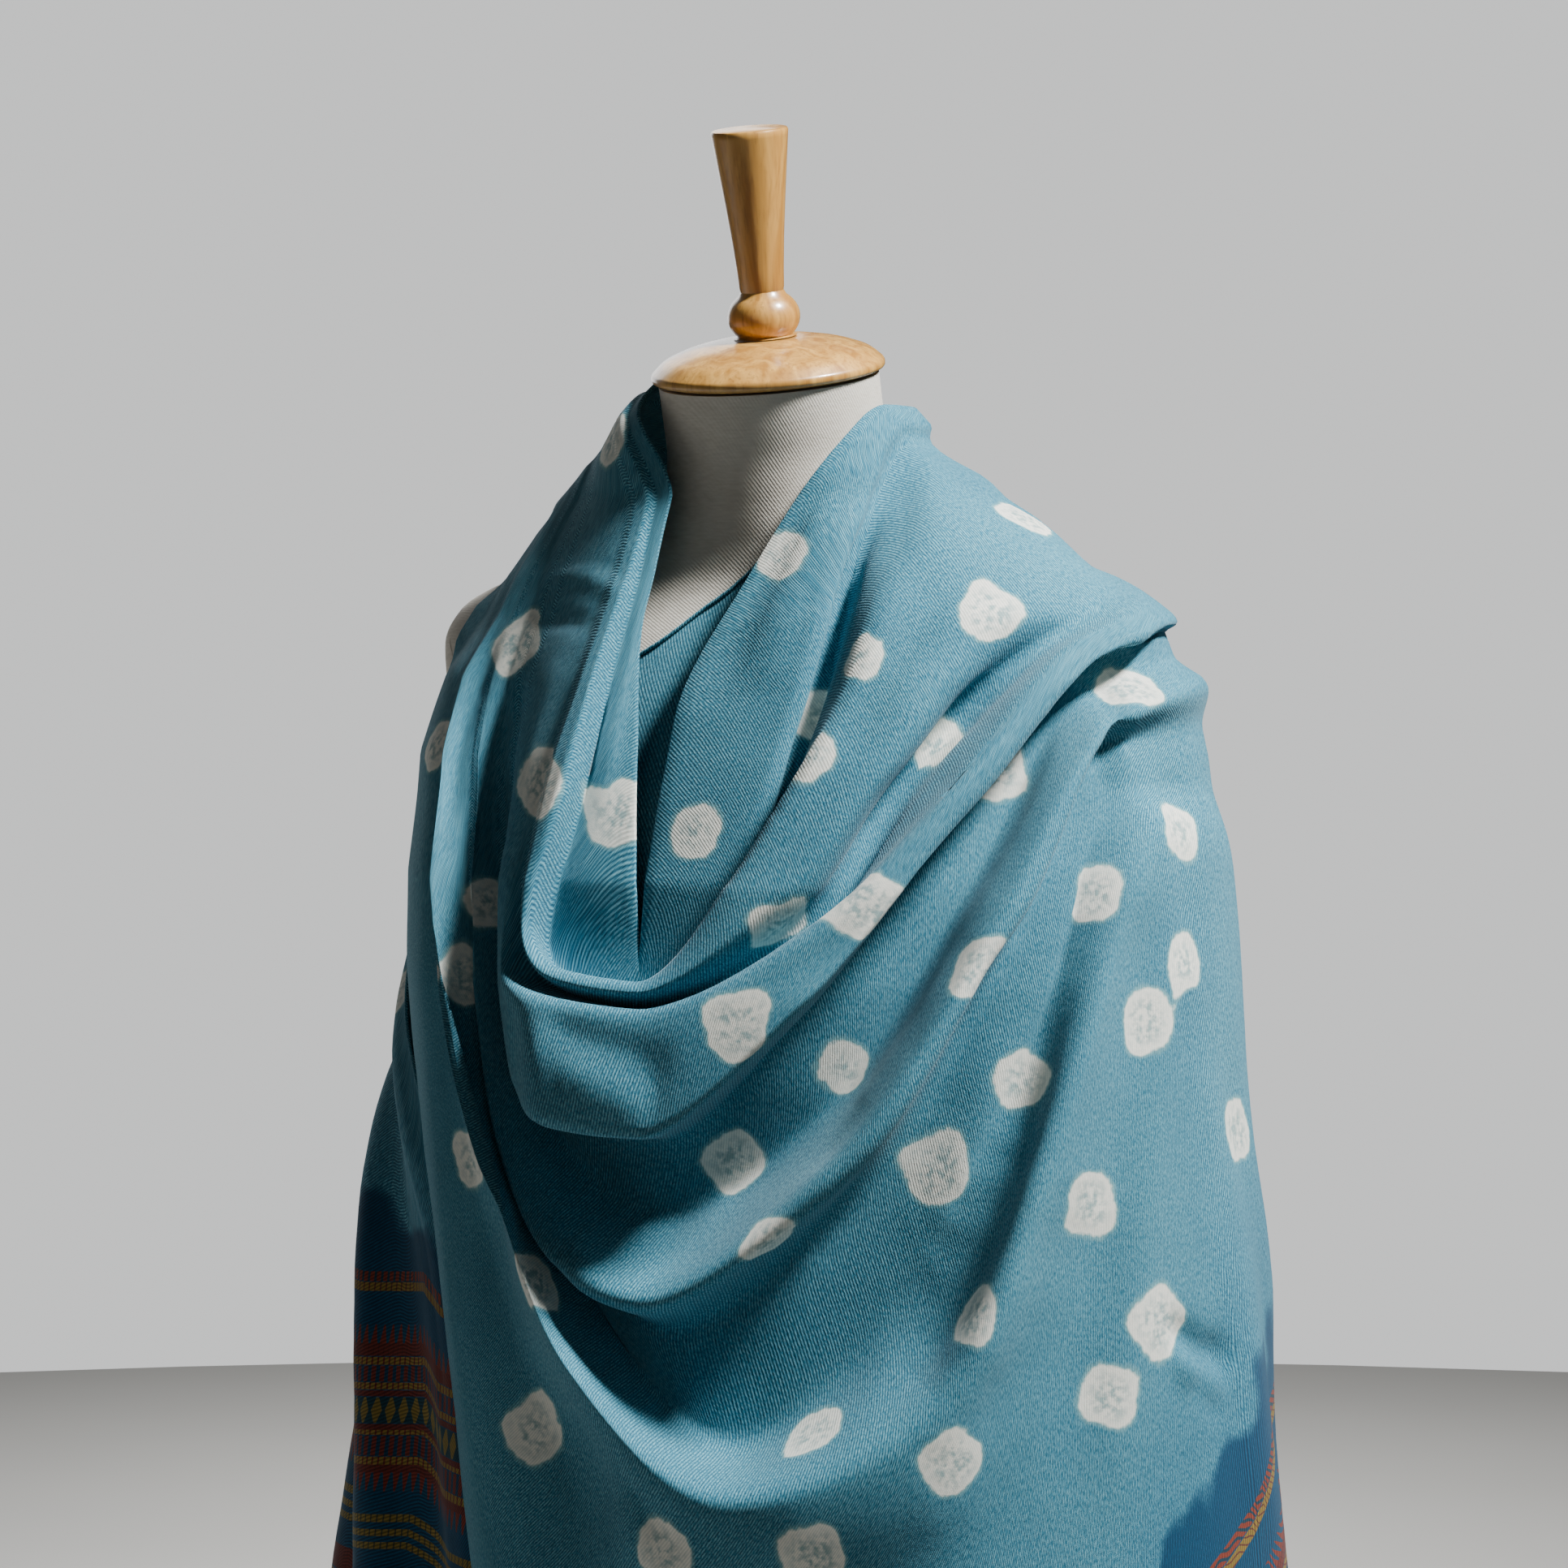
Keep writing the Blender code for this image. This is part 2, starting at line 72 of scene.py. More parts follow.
RIGHT = Vector((math.cos(CAMERA_TURN), math.sin(CAMERA_TURN), 0.0))
LEVEL_AHEAD = Vector((-math.sin(CAMERA_TURN), math.cos(CAMERA_TURN), 0.0))
AHEAD = LEVEL_AHEAD * math.cos(CAMERA_DIP) - Vector((0.0, 0.0, math.sin(CAMERA_DIP)))
UPWARD = RIGHT.cross(AHEAD)
AIM = Vector((0.0, 0.0, AIM_HEIGHT)) + RIGHT * AIM_SIDE
EYE = AIM - AHEAD * CAMERA_DISTANCE

lens = bpy.data.cameras.new("view_of_the_photo")
lens.sensor_width = SENSOR
lens.lens = SENSOR * CAMERA_DISTANCE * PIXELS_PER_CM / (PICTURE * CM)
camera = bpy.data.objects.new("view_of_the_photo", lens)
camera.matrix_world = Matrix.Translation(EYE) @ Matrix((RIGHT, UPWARD, -AHEAD)).transposed().to_4x4()
bpy.context.scene.collection.objects.link(camera)
bpy.context.scene.camera = camera
print("lens of", round(lens.lens, 1), "mm")


def pixel_ray(across, down):
    """Direction of the ray through a pixel of the picture."""
    half = PICTURE / 2
    reach = CAMERA_DISTANCE / CM * PIXELS_PER_CM
    return (AHEAD * reach + RIGHT * (across - half) + UPWARD * (half - down)).normalized()


# %% [markdown]
# ## Floor and light
#
# A large pale disc and a plain pale world make a studio without walls, so that the object can be seen from all
# sides. The key light is a panel high on the viewer's right, because the picture's folds are bright on that
# side and deep on the other. Its light is kept narrow, so that the floor throws little of it back up into the
# folds. The world is pale to the eye but gives little light, for the same reason. Weaker panels keep the
# other sides readable, and four others point straight down and light the floor alone.

# %% Floor, world and lights
FLOOR_RADIUS = 6.0
FLOOR_DROP = 0.5 * MM
WORLD_LIGHT = 0.06
WORLD_SEEN = 1.1


def linear(code):
    """Linear colour of an sRGB hex code, with full opacity."""
    values = [int(code[start : start + 2], 16) / 255 for start in (1, 3, 5)]
    return tuple(v / 12.92 if v <= 0.04045 else ((v + 0.055) / 1.055) ** 2.4 for v in values) + (1.0,)


def add_node(material, kind, settings=None, inputs=None, output=None):
    """Node of a kind, or one output of it. inputs hold a value, or the socket to link."""
    tree = material.node_tree
    made = tree.nodes.new(kind)
    for name, value in (settings or {}).items():
        setattr(made, name, value)
    for name, value in (inputs or {}).items():
        if isinstance(value, bpy.types.NodeSocket):
            tree.links.new(value, made.inputs[name])
        else:
            made.inputs[name].default_value = value
    return made if output is None else made.outputs[output]


def new_material(name):
    """Empty material and its Principled shader."""
    material = bpy.data.materials.new(name)
    material.use_nodes = True
    return material, material.node_tree.nodes["Principled BSDF"]


def finish_piece(name, builder, material, slot, replaced, auto_sharp=None):
    """Object of a mesh at the origin, riding on the root body in place of CAD nodes."""
    mesh = bpy.data.meshes.new(name)
    builder.to_mesh(mesh)
    builder.free()
    mesh.shade_smooth()
    if auto_sharp is not None:
        mesh.set_sharp_from_angle(angle=math.radians(auto_sharp))
    mesh.materials.append(material)
    piece = bpy.data.objects.new(name, mesh)
    bpy.context.scene.collection.objects.link(piece)
    if slot is not None:
        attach(piece, "root")
    if replaced:
        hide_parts(*replaced)
    return piece


def painted_floor():
    """Matt pale floor paint: an even surface that takes soft shadows."""
    material, surface = new_material("matt_floor_paint")
    place = add_node(material, "ShaderNodeTexCoord")
    cloud = add_node(material, "ShaderNodeTexNoise", inputs={"Vector": place.outputs["Object"], "Scale": 1.5})
    blend = add_node(
        material,
        "ShaderNodeMix",
        {"data_type": "RGBA"},
        {0: cloud.outputs["Fac"], 6: linear("#c9c8c4"), 7: linear("#d2d1cd")},
    )
    material.node_tree.links.new(blend.outputs[2], surface.inputs["Base Color"])
    surface.inputs["Roughness"].default_value = 0.85
    return material


disc = bmesh.new()
bmesh.ops.create_circle(disc, cap_ends=True, segments=96, radius=FLOOR_RADIUS)
bmesh.ops.translate(disc, verts=disc.verts, vec=(0.0, 0.0, -FLOOR_DROP))
floor = finish_piece("studio_floor", disc, painted_floor(), None, ())

world = bpy.data.worlds.new("studio")
world.use_nodes = True
sky = world.node_tree
backdrop = sky.nodes["Background"]
backdrop.inputs["Color"].default_value = linear("#e3e4e4")
ray = sky.nodes.new("ShaderNodeLightPath")
strength = sky.nodes.new("ShaderNodeMapRange")
strength.inputs["To Min"].default_value = WORLD_LIGHT
strength.inputs["To Max"].default_value = WORLD_SEEN
sky.links.new(ray.outputs["Is Camera Ray"], strength.inputs["Value"])
sky.links.new(strength.outputs[0], backdrop.inputs["Strength"])
bpy.context.scene.world = world

# Panels of light: name, to the viewer's right, towards the viewer, up from the aim, watts, width in metres,
# spread in degrees, height of the place it looks at
LIGHTS = [
    ("key_panel", 1.65, 0.85, 2.35, 34.0, 0.45, 60.0, 1.22),
    ("fill_panel", -1.6, 2.8, 0.4, 1.0, 1.8, 120.0, 1.2),
    ("back_panel", -0.9, -2.6, 1.0, 12.0, 1.8, 120.0, 1.1),
    ("floor_panel_behind", 0.0, -3.6, 1.9, 70.0, 2.4, 110.0, 0.0),
    ("floor_panel_before", 0.0, 4.2, 1.4, 14.0, 2.4, 90.0, 0.0),
    ("floor_panel_right", 3.8, -0.8, 1.6, 36.0, 2.4, 100.0, 0.0),
    ("floor_panel_left", -3.8, -0.8, 1.6, 36.0, 2.4, 100.0, 0.0),
]
for name, aside, towards, up, watts, width, spread, looks_at in LIGHTS:
    panel = bpy.data.lights.new(name, "AREA")
    panel.energy = watts
    panel.size = width
    panel.spread = math.radians(spread)
    lamp = bpy.data.objects.new(name, panel)
    lamp.location = AIM + RIGHT * aside - LEVEL_AHEAD * towards + Vector((0.0, 0.0, up))
    aim = Vector((0.0, 0.0, looks_at))
    if looks_at == 0.0:
        aim = Vector((lamp.location.x, lamp.location.y, 0.0))
    lamp.rotation_euler = (aim - lamp.location).to_track_quat("-Z", "Y").to_euler()
    bpy.context.scene.collection.objects.link(lamp)
print("lights:", len(LIGHTS))

# %% [markdown]
# ## The form under the cloth
#
# A dress form is a padded shell with linen drawn over it and sewn. It is round in every section, so it is
# built from oval rings, one above the other, and a smooth curve through a few measured ones gives the rest.
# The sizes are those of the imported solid, in centimetres, so the cloth that lies on it needs no fitting.

# %% Sizes of the form
TORSO_BOTTOM = 72.0
NECK_TILT = 11.0
TILT_START = 137.0
TILT_PER_HEIGHT = 1.3
NECK_TOP = 145.0
NECK_CENTRE_Y = -2.5
NECK_RADIUS = 5.6
FORM_CLEARANCE = 0.32
INNER_FOLD_CLEARANCE = 0.16

# Torso rings: height, half width, half depth, centre Y
TORSO = [
    (72.0, 16.6, 11.2, 0.0),
    (76.0, 17.3, 11.8, 0.0),
    (82.0, 17.4, 12.0, 0.0),
    (90.0, 15.6, 11.0, 0.0),
    (100.0, 12.6, 9.4, 0.0),
    (107.0, 13.6, 10.0, 0.0),
    (114.0, 15.8, 11.8, -0.4),
    (120.0, 16.8, 12.2, -0.6),
    (125.0, 17.9, 10.8, -0.2),
    (129.0, 19.2, 9.4, 0.2),
    (131.5, 19.6, 8.4, 0.4),
    (133.2, 18.8, 7.6, 0.5),
    (134.4, 16.8, 7.0, 0.4),
    (135.4, 13.6, 6.6, 0.2),
    (136.4, 10.2, 6.4, 0.0),
    (137.6, 7.6, 6.2, -0.3),
    (139.4, 6.1, 5.9, -0.8),
    (142.0, 5.6, 5.6, -1.6),
]


def hermite(values, position):
    """Monotone cubic through evenly spaced values along the first axis."""
    values = np.asarray(values, dtype=float)
    steps = np.diff(values, axis=0)
    before = steps[:-1]
    after = steps[1:]
    same_way = before * after > 0
    total = np.where(same_way, before + after, 1.0)
    inner = np.where(same_way, 2.0 * before * after / total, 0.0)
    slopes = np.concatenate([steps[:1], inner, steps[-1:]])
    cell = np.clip(np.floor(position).astype(int), 0, len(values) - 2)
    x = (position - cell).reshape((-1,) + (1,) * (values.ndim - 1))
    a = values[cell]
    b = values[cell + 1]
    return (
        a * (2 * x**3 - 3 * x**2 + 1)
        + b * (3 * x**2 - 2 * x**3)
        + slopes[cell] * (x**3 - 2 * x**2 + x)
        + slopes[cell + 1] * (x**3 - x**2)
    )


def form_radius(azimuth, height):
    """Radius of the form in centimetres at an azimuth and a height, or zero above and below it."""
    rings = TORSO + [(NECK_TOP, NECK_RADIUS, NECK_RADIUS, NECK_CENTRE_Y)]
    heights, widths, depths, centres = np.array(rings).T
    width = np.interp(height, heights, widths)
    depth = np.interp(height, heights, depths)
    centre = np.interp(height, heights, centres)
    sine = np.sin(np.radians(azimuth))
    cosine = np.cos(np.radians(azimuth))
    square = (sine / width) ** 2 + (cosine / depth) ** 2
    half = cosine * centre / depth**2
    root = np.sqrt(np.maximum(half**2 - square * ((centre / depth) ** 2 - 1.0), 0.0))
    radius = (root - half) / square
    inside = (height > heights[0]) & (height < heights[-1] + 1.5)
    return np.where(inside, radius, 0.0)


print("torso from", TORSO_BOTTOM, "to", NECK_TOP, "cm")

# %% [markdown]
# ## Linen cover
#
# The cover is unbleached linen in a fine twill. The threads are thick and thin, so the colour is never quite
# even, and the weave gives the dull surface that raw linen has. The real threads are about 0.5 mm apart. They
# are drawn 1.4 mm apart, because finer ones would not show in the picture.

# %% Linen material
LINEN_RIB = 1.4 * MM


def unbleached_linen():
    """Linen twill, woven of uneven flax yarn and left unbleached: warm off-white and quite matt."""
    material, surface = new_material("unbleached_linen_twill")
    place = add_node(material, "ShaderNodeTexCoord").outputs["Object"]
    rib = add_node(
        material,
        "ShaderNodeTexWave",
        {"wave_type": "BANDS", "bands_direction": "DIAGONAL"},
        {"Vector": place, "Scale": 0.36 / LINEN_RIB, "Distortion": 1.6, "Detail": 2.0, "Detail Scale": 3.0},
    )
    slubs = add_node(
        material,
        "ShaderNodeMapping",
        inputs={"Vector": place, "Scale": (160.0, 160.0, 900.0)},
    )
    yarn = add_node(material, "ShaderNodeTexNoise", inputs={"Vector": slubs.outputs[0], "Scale": 1.0, "Detail": 4.0})
    cloud = add_node(material, "ShaderNodeTexNoise", inputs={"Vector": place, "Scale": 14.0, "Detail": 3.0})
    base = add_node(
        material,
        "ShaderNodeMix",
        {"data_type": "RGBA"},
        {0: yarn.outputs["Fac"], 6: linear("#b9b2a3"), 7: linear("#dcd6ca")},
    )
    shade = add_node(
        material,
        "ShaderNodeMapRange",
        inputs={"Value": cloud.outputs["Fac"], "From Min": 0.3, "From Max": 0.7, "To Min": 0.9, "To Max": 1.0},
    )
    toned = add_node(
        material,
        "ShaderNodeMix",
        {"data_type": "RGBA", "blend_type": "MULTIPLY"},
        {0: 1.0, 6: base.outputs[2], 7: shade.outputs[0]},
    )
    height = add_node(
        material,
        "ShaderNodeMath",
        {"operation": "MULTIPLY_ADD"},
        {0: yarn.outputs["Fac"], 1: 0.8, 2: rib.outputs["Fac"]},
    )
    bump = add_node(
        material,
        "ShaderNodeBump",
        inputs={"Height": height.outputs[0], "Strength": 0.35, "Distance": 0.25 * MM},
    )
    material.node_tree.links.new(toned.outputs[2], surface.inputs["Base Color"])
    material.node_tree.links.new(bump.outputs[0], surface.inputs["Normal"])
    surface.inputs["Roughness"].default_value = 0.9
    surface.inputs["Sheen Weight"].default_value = 0.15
    surface.inputs["Sheen Roughness"].default_value = 0.5
    return material


linen = unbleached_linen()
print("material:", linen.name)

# %% Torso
FORM_SIDES = 96
RINGS_PER_GAP = 7


def level_ring(radius_x, radius_y, centre_y, height, tilt, sides):
    """Oval ring in metres. A tilt lowers its front."""
    ring = []
    for step in range(sides):
        angle = 2 * math.pi * step / sides
        x = radius_x * math.cos(angle)
        y = radius_y * math.sin(angle)
        turn = math.radians(tilt)
        ring.append((x * CM, (centre_y + y * math.cos(turn)) * CM, (height + y * math.sin(turn)) * CM))
    return ring


def bridge_rings(builder, rings):
    """Skin through rings of points, closed at both ends."""
    loops = []
    for ring in rings:
        circle = bmesh.ops.create_circle(builder, segments=len(ring), radius=1.0)["verts"]
        for vertex, place in zip(circle, ring):
            vertex.co = place
        loops.append(circle)
    for lower, upper in zip(loops, loops[1:]):
        near = set(lower) | set(upper)
        edges = list({edge for vertex in near for edge in vertex.link_edges if set(edge.verts) <= near})
        edges = [edge for edge in edges if set(edge.verts) <= set(lower) or set(edge.verts) <= set(upper)]
        bmesh.ops.bridge_loops(builder, edges=edges)
    for end in (loops[0], loops[-1]):
        rim = {edge for vertex in end for edge in vertex.link_edges if set(edge.verts) <= set(end)}
        bmesh.ops.contextual_create(builder, geom=list(rim))
    bmesh.ops.recalc_face_normals(builder, faces=builder.faces)


torso_table = []
for height, width, depth, centre_y in TORSO:
    tilt = max(0.0, (height - TILT_START) * TILT_PER_HEIGHT)
    torso_table.append((width, depth, centre_y, height, tilt))
torso_table.append((NECK_RADIUS, NECK_RADIUS, NECK_CENTRE_Y, NECK_TOP, NECK_TILT))
places = np.linspace(0, len(torso_table) - 1, (len(torso_table) - 1) * RINGS_PER_GAP + 1)
torso_rings = [level_ring(*row, FORM_SIDES) for row in hermite(torso_table, places)]
torso = bmesh.new()
bridge_rings(torso, torso_rings)
print("torso:", len(torso.faces), "faces")
form = finish_piece("linen_form", torso, linen, "form_linen", ["form_torso"], auto_sharp=50)

# %% [markdown]
# ## Seams of the cover
#
# The cover is cut in panels. Where two panels meet, their edges are turned in and show as a low welt. Each
# welt is a thin tube that lies half in the linen along a line of the form: round the flat where an arm would
# be, down the sides, and down the middle of the back.

# %% Welts
WELT_RADIUS = 0.05
ARM_CENTRE_HEIGHT = 126.6
ARM_RADIUS = 5.0
ARM_STRETCH = 1.22


def surface_point(azimuth, height, lift=0.0):
    """Point in metres on the form, or a little out of it."""
    radius = float(form_radius(np.array(azimuth), np.array(height))) + lift
    angle = math.radians(azimuth)
    return Vector((radius * math.sin(angle) * CM, -radius * math.cos(angle) * CM, height * CM))


def add_welt(name, path, closed):
    """Thin tube along points of the form."""
    line = bpy.data.curves.new(name, "CURVE")
    line.dimensions = "3D"
    line.bevel_depth = WELT_RADIUS * CM
    line.bevel_resolution = 2
    line.use_fill_caps = True
    spline = line.splines.new("POLY")
    spline.points.add(len(path) - 1)
    for point, place in zip(spline.points, path):
        point.co = (*place, 1.0)
    spline.use_cyclic_u = closed
    draft = bpy.data.objects.new(name, line)
    mesh = bpy.data.meshes.new_from_object(draft)
    bpy.data.objects.remove(draft)
    builder = bmesh.new()
    builder.from_mesh(mesh)
    return finish_piece(name, builder, linen, "form_linen", ())


ARM_STEPS = 72
for name, middle in (("armhole_welt_right", -90.0), ("armhole_welt_left", 90.0)):
    path = []
    for step in range(ARM_STEPS):
        angle = 2 * math.pi * step / ARM_STEPS
        across = ARM_RADIUS * math.cos(angle)
        height = ARM_CENTRE_HEIGHT + ARM_RADIUS * ARM_STRETCH * math.sin(angle)
        reach = float(form_radius(np.array(middle), np.array(height)))
        azimuth = middle + math.degrees(math.asin(max(-0.95, min(0.95, across / max(reach, 8.0)))))
        path.append(surface_point(azimuth, height))
    add_welt(name, path, True)
for name, azimuth, low, high in (
    ("side_welt_right", -90.0, 72.6, 120.0),
    ("side_welt_left", 90.0, 72.6, 120.0),
    ("back_welt", 180.0, 72.6, 142.5),
):
    add_welt(name, [surface_point(azimuth, height) for height in np.linspace(low, high, 90)], False)
print("welts: 5")

# %% [markdown]
# ## Cap, finial and stand
#
# The neck ends in a low beech dome, and a turned finial stands on it: a ball, a groove and a knob that widens
# to a flat top. All are turned on a lathe, so each is a profile spun round its axis. The stand is a round
# steel base with a pole and a socket plate, powder coated in black.

# %% Varnished beech
GRAIN_WIDTH = 1.6 * MM


def varnished_beech():
    """Beech, turned, stained honey brown and varnished: fine streaks along the axis under a clear gloss."""
    material, surface = new_material("varnished_beech")
    place = add_node(material, "ShaderNodeTexCoord").outputs["Object"]
    turned = add_node(
        material,
        "ShaderNodeMapping",
        {"vector_type": "POINT"},
        {"Vector": place, "Rotation": (-math.radians(NECK_TILT), 0.0, 0.0)},
    )
    stretched = add_node(
        material,
        "ShaderNodeMapping",
        inputs={"Vector": turned.outputs[0], "Scale": (1 / GRAIN_WIDTH, 1 / GRAIN_WIDTH, 0.055 / GRAIN_WIDTH)},
    )
    fleck = add_node(
        material, "ShaderNodeTexNoise", inputs={"Vector": stretched.outputs[0], "Scale": 1.0, "Detail": 5.0}
    )
    broad = add_node(
        material,
        "ShaderNodeMapping",
        inputs={"Vector": turned.outputs[0], "Scale": (95.0, 95.0, 9.0)},
    )
    figure = add_node(
        material,
        "ShaderNodeTexNoise",
        inputs={"Vector": broad.outputs[0], "Scale": 1.0, "Detail": 3.0, "Distortion": 1.2},
    )
    tone = add_node(
        material,
        "ShaderNodeMapRange",
        inputs={"Value": figure.outputs["Fac"], "From Min": 0.32, "From Max": 0.68},
    )
    honey = add_node(
        material,
        "ShaderNodeMix",
        {"data_type": "RGBA"},
        {0: tone.outputs[0], 6: linear("#a87430"), 7: linear("#d8a657")},
    )
    sharp = add_node(
        material,
        "ShaderNodeMapRange",
        inputs={"Value": fleck.outputs["Fac"], "From Min": 0.52, "From Max": 0.72, "To Min": 0.0, "To Max": 0.55},
    )
    streaked = add_node(
        material,
        "ShaderNodeMix",
        {"data_type": "RGBA"},
        {0: sharp.outputs[0], 6: honey.outputs[2], 7: linear("#8a5c28")},
    )
    bump = add_node(
        material,
        "ShaderNodeBump",
        inputs={"Height": fleck.outputs["Fac"], "Strength": 0.12, "Distance": 0.2 * MM},
    )
    material.node_tree.links.new(streaked.outputs[2], surface.inputs["Base Color"])
    material.node_tree.links.new(bump.outputs[0], surface.inputs["Normal"])
    surface.inputs["Roughness"].default_value = 0.38
    surface.inputs["Coat Weight"].default_value = 0.7
    surface.inputs["Coat Roughness"].default_value = 0.16
    return material


def black_powder_coat():
    """Steel, powder coated in satin black: a fine orange peel that blurs its highlights."""
    material, surface = new_material("black_powder_coat")
    place = add_node(material, "ShaderNodeTexCoord").outputs["Object"]
    peel = add_node(material, "ShaderNodeTexNoise", inputs={"Vector": place, "Scale": 900.0, "Detail": 2.0})
    dust = add_node(material, "ShaderNodeTexNoise", inputs={"Vector": place, "Scale": 22.0, "Detail": 4.0})
    tint = add_node(
        material,
        "ShaderNodeMix",
        {"data_type": "RGBA"},
        {0: dust.outputs["Fac"], 6: linear("#141516"), 7: linear("#25272a")},
    )
    gloss = add_node(
        material,
        "ShaderNodeMapRange",
        inputs={"Value": dust.outputs["Fac"], "From Min": 0.3, "From Max": 0.7, "To Min": 0.38, "To Max": 0.55},
    )
    bump = add_node(
        material,
        "ShaderNodeBump",
        inputs={"Height": peel.outputs["Fac"], "Strength": 0.2, "Distance": 0.2 * MM},
    )
    material.node_tree.links.new(tint.outputs[2], surface.inputs["Base Color"])
    material.node_tree.links.new(gloss.outputs[0], surface.inputs["Roughness"])
    material.node_tree.links.new(bump.outputs[0], surface.inputs["Normal"])
    return material


beech = varnished_beech()
coated_steel = black_powder_coat()
print("materials:", beech.name, coated_steel.name)

# %% Turned pieces
TURNED_STEPS = 72
PIECE_GAP = 0.03
CAP_TOP = 2.15


def turned(name, profile, matrix, material, slot, replaced):
    """Profile of (radius, height) in centimetres, spun round Z and set in place."""
    builder = bmesh.new()
    points = [builder.verts.new((radius * CM, 0.0, height * CM)) for radius, height in profile]
    edges = [builder.edges.new(pair) for pair in zip(points, points[1:])]
    bmesh.ops.spin(
        builder,
        geom=points + edges,
        cent=(0.0, 0.0, 0.0),
        axis=(0.0, 0.0, 1.0),
        angle=2 * math.pi,
        steps=TURNED_STEPS,
        use_merge=True,
    )
    bmesh.ops.remove_doubles(builder, verts=builder.verts, dist=0.01 * MM)
    bmesh.ops.recalc_face_normals(builder, faces=builder.faces)
    bmesh.ops.transform(builder, matrix=matrix, verts=builder.verts)
    print(name, len(builder.faces), "faces")
    return finish_piece(name, builder, material, slot, replaced, auto_sharp=35)


def rounded(corners, radius, steps=6):
    """Profile with each inner corner of a list of points rounded."""
    path = [corners[0]]
    for before, corner, after in zip(corners, corners[1:], corners[2:]):
        here = Vector(corner)
        back = Vector(before) - here
        on = Vector(after) - here
        cut = min(radius, back.length * 0.45, on.length * 0.45)
        start = here + back.normalized() * cut
        end = here + on.normalized() * cut
        for step in range(steps + 1):
            share = step / steps
            path.append(tuple(start * (1 - share) ** 2 + here * 2 * share * (1 - share) + end * share**2))
    path.append(corners[-1])
    return path


neck_end = Matrix.Translation((0.0, NECK_CENTRE_Y * CM, NECK_TOP * CM)) @ Matrix.Rotation(
    math.radians(NECK_TILT), 4, "X"
)
cap_corners = [(0, 0.1), (5.55, 0.1), (5.95, 0.3), (5.95, 0.62), (5.3, 1.25), (4.0, 1.75), (2.3, 2.1), (0, 2.15)]
turned("beech_cap", rounded(cap_corners, 0.5), neck_end, beech, "form_wood", ["form_neck_cap"])

ball = [(1.84 * math.cos(angle), 1.0 + 1.45 * math.sin(angle)) for angle in np.radians(range(-40, 56, 8))]
knob = [(1.1, 2.32), (1.14, 2.48), (1.2, 3.4), (1.34, 5.0), (1.56, 7.0), (1.8, 9.0), (1.93, 10.1)]
crown = [(1.96, 10.34), (1.9, 10.46), (1.78, 10.5), (0, 10.5)]
finial_profile = [(0, 0.0), (1.62, 0.0)] + ball + knob + crown
finial_place = neck_end @ Matrix.Translation((0.0, 0.0, (CAP_TOP + PIECE_GAP) * CM))
turned("beech_finial", finial_profile, finial_place, beech, "form_wood", ["form_finial"])

upright = Matrix.Identity(4)
base_corners = [(0, 0), (20.4, 0), (21, 0.5), (21, 1.6), (20, 2.6), (3.2, 2.6), (0, 2.6)]
turned("steel_base", rounded(base_corners, 0.5), upright, coated_steel, "stand_metal", ["form_base"])
pole_corners = [(0, 2.63), (1.6, 2.63), (1.6, 70.74), (0, 70.74)]
turned("steel_pole", rounded(pole_corners, 0.06), upright, coated_steel, "stand_metal", ["form_pole"])
plate_corners = [(0, 70.77), (5.8, 70.77), (6, 71.0), (6, 71.97), (0, 71.97)]
turned("socket_plate", rounded(plate_corners, 0.15), upright, coated_steel, "stand_metal", ["form_socket_plate"])

# %% [markdown]
# ## How the cloth hangs
#
# The shawl is one rectangle. It is described as a weaver would number it: fold lines run from one end to the
# other, and stations cross them. At each crossing the table gives an azimuth, seen from above with 0 at the
# front, and a height. A body of air says how far out the cloth hangs there, and a relief moves it in and out
# of that body for the rolls of the cowl. A simulation could drape such a cloth, but it would not give the
# folds of the picture, so they are listed in tables. These are the sizes of the imported solid, in centimetres.

# %% Tables of the drape
# Body of air: height, then its radius to the right, left, front and back
WRAP = [
    (56.0, 26.5, 28.2, 20.6, 18.6),
    (70.0, 25.4, 27.6, 20.0, 18.0),
    (80.0, 24.4, 26.9, 19.4, 17.2),
    (90.0, 23.3, 26.1, 18.8, 16.2),
    (100.0, 22.3, 25.3, 18.2, 15.0),
    (110.0, 21.0, 24.3, 17.9, 14.4),
    (115.0, 20.8, 23.8, 17.6, 14.4),
    (120.0, 20.7, 23.2, 16.6, 14.4),
    (126.0, 20.3, 22.5, 14.2, 14.2),
    (130.0, 18.8, 21.7, 12.4, 13.6),
    (133.0, 16.4, 20.0, 11.0, 12.8),
    (135.0, 15.4, 17.4, 10.0, 11.6),
    (137.0, 13.8, 14.3, 9.2, 10.0),
    (139.0, 12.2, 11.0, 8.4, 8.4),
    (141.0, 10.7, 8.9, 8.4, 7.0),
    (143.0, 8.8, 7.4, 8.8, 6.0),
    (145.0, 6.4, 6.6, 9.3, 5.4),
]

STATIONS = (
    "back_r ridge_r top_r neck_r chest_r breast_r knee_r turn_r low "
    "knee_l breast_l chest_l shoulder_l back_l mid_l hem_l"
).split()

# At each station: how far the relief is open, and how much of it is the relief of the low point
GAIN = [0.4, 0.3, 0.15, 0.15, 0.45, 0.9, 1.0, 1.0, 1.0, 1.0, 1.0, 0.7, 0.3, 0.3, 0.6, 0.7]
LOW_SHARE = [0.0, 0.0, 0.0, 0.0, 0.0, 0.1, 0.6, 1.0, 1.0, 0.75, 0.2, 0.0, 0.0, 0.0, 0.0, 0.0]
LOW_STATION = STATIONS.index("low")

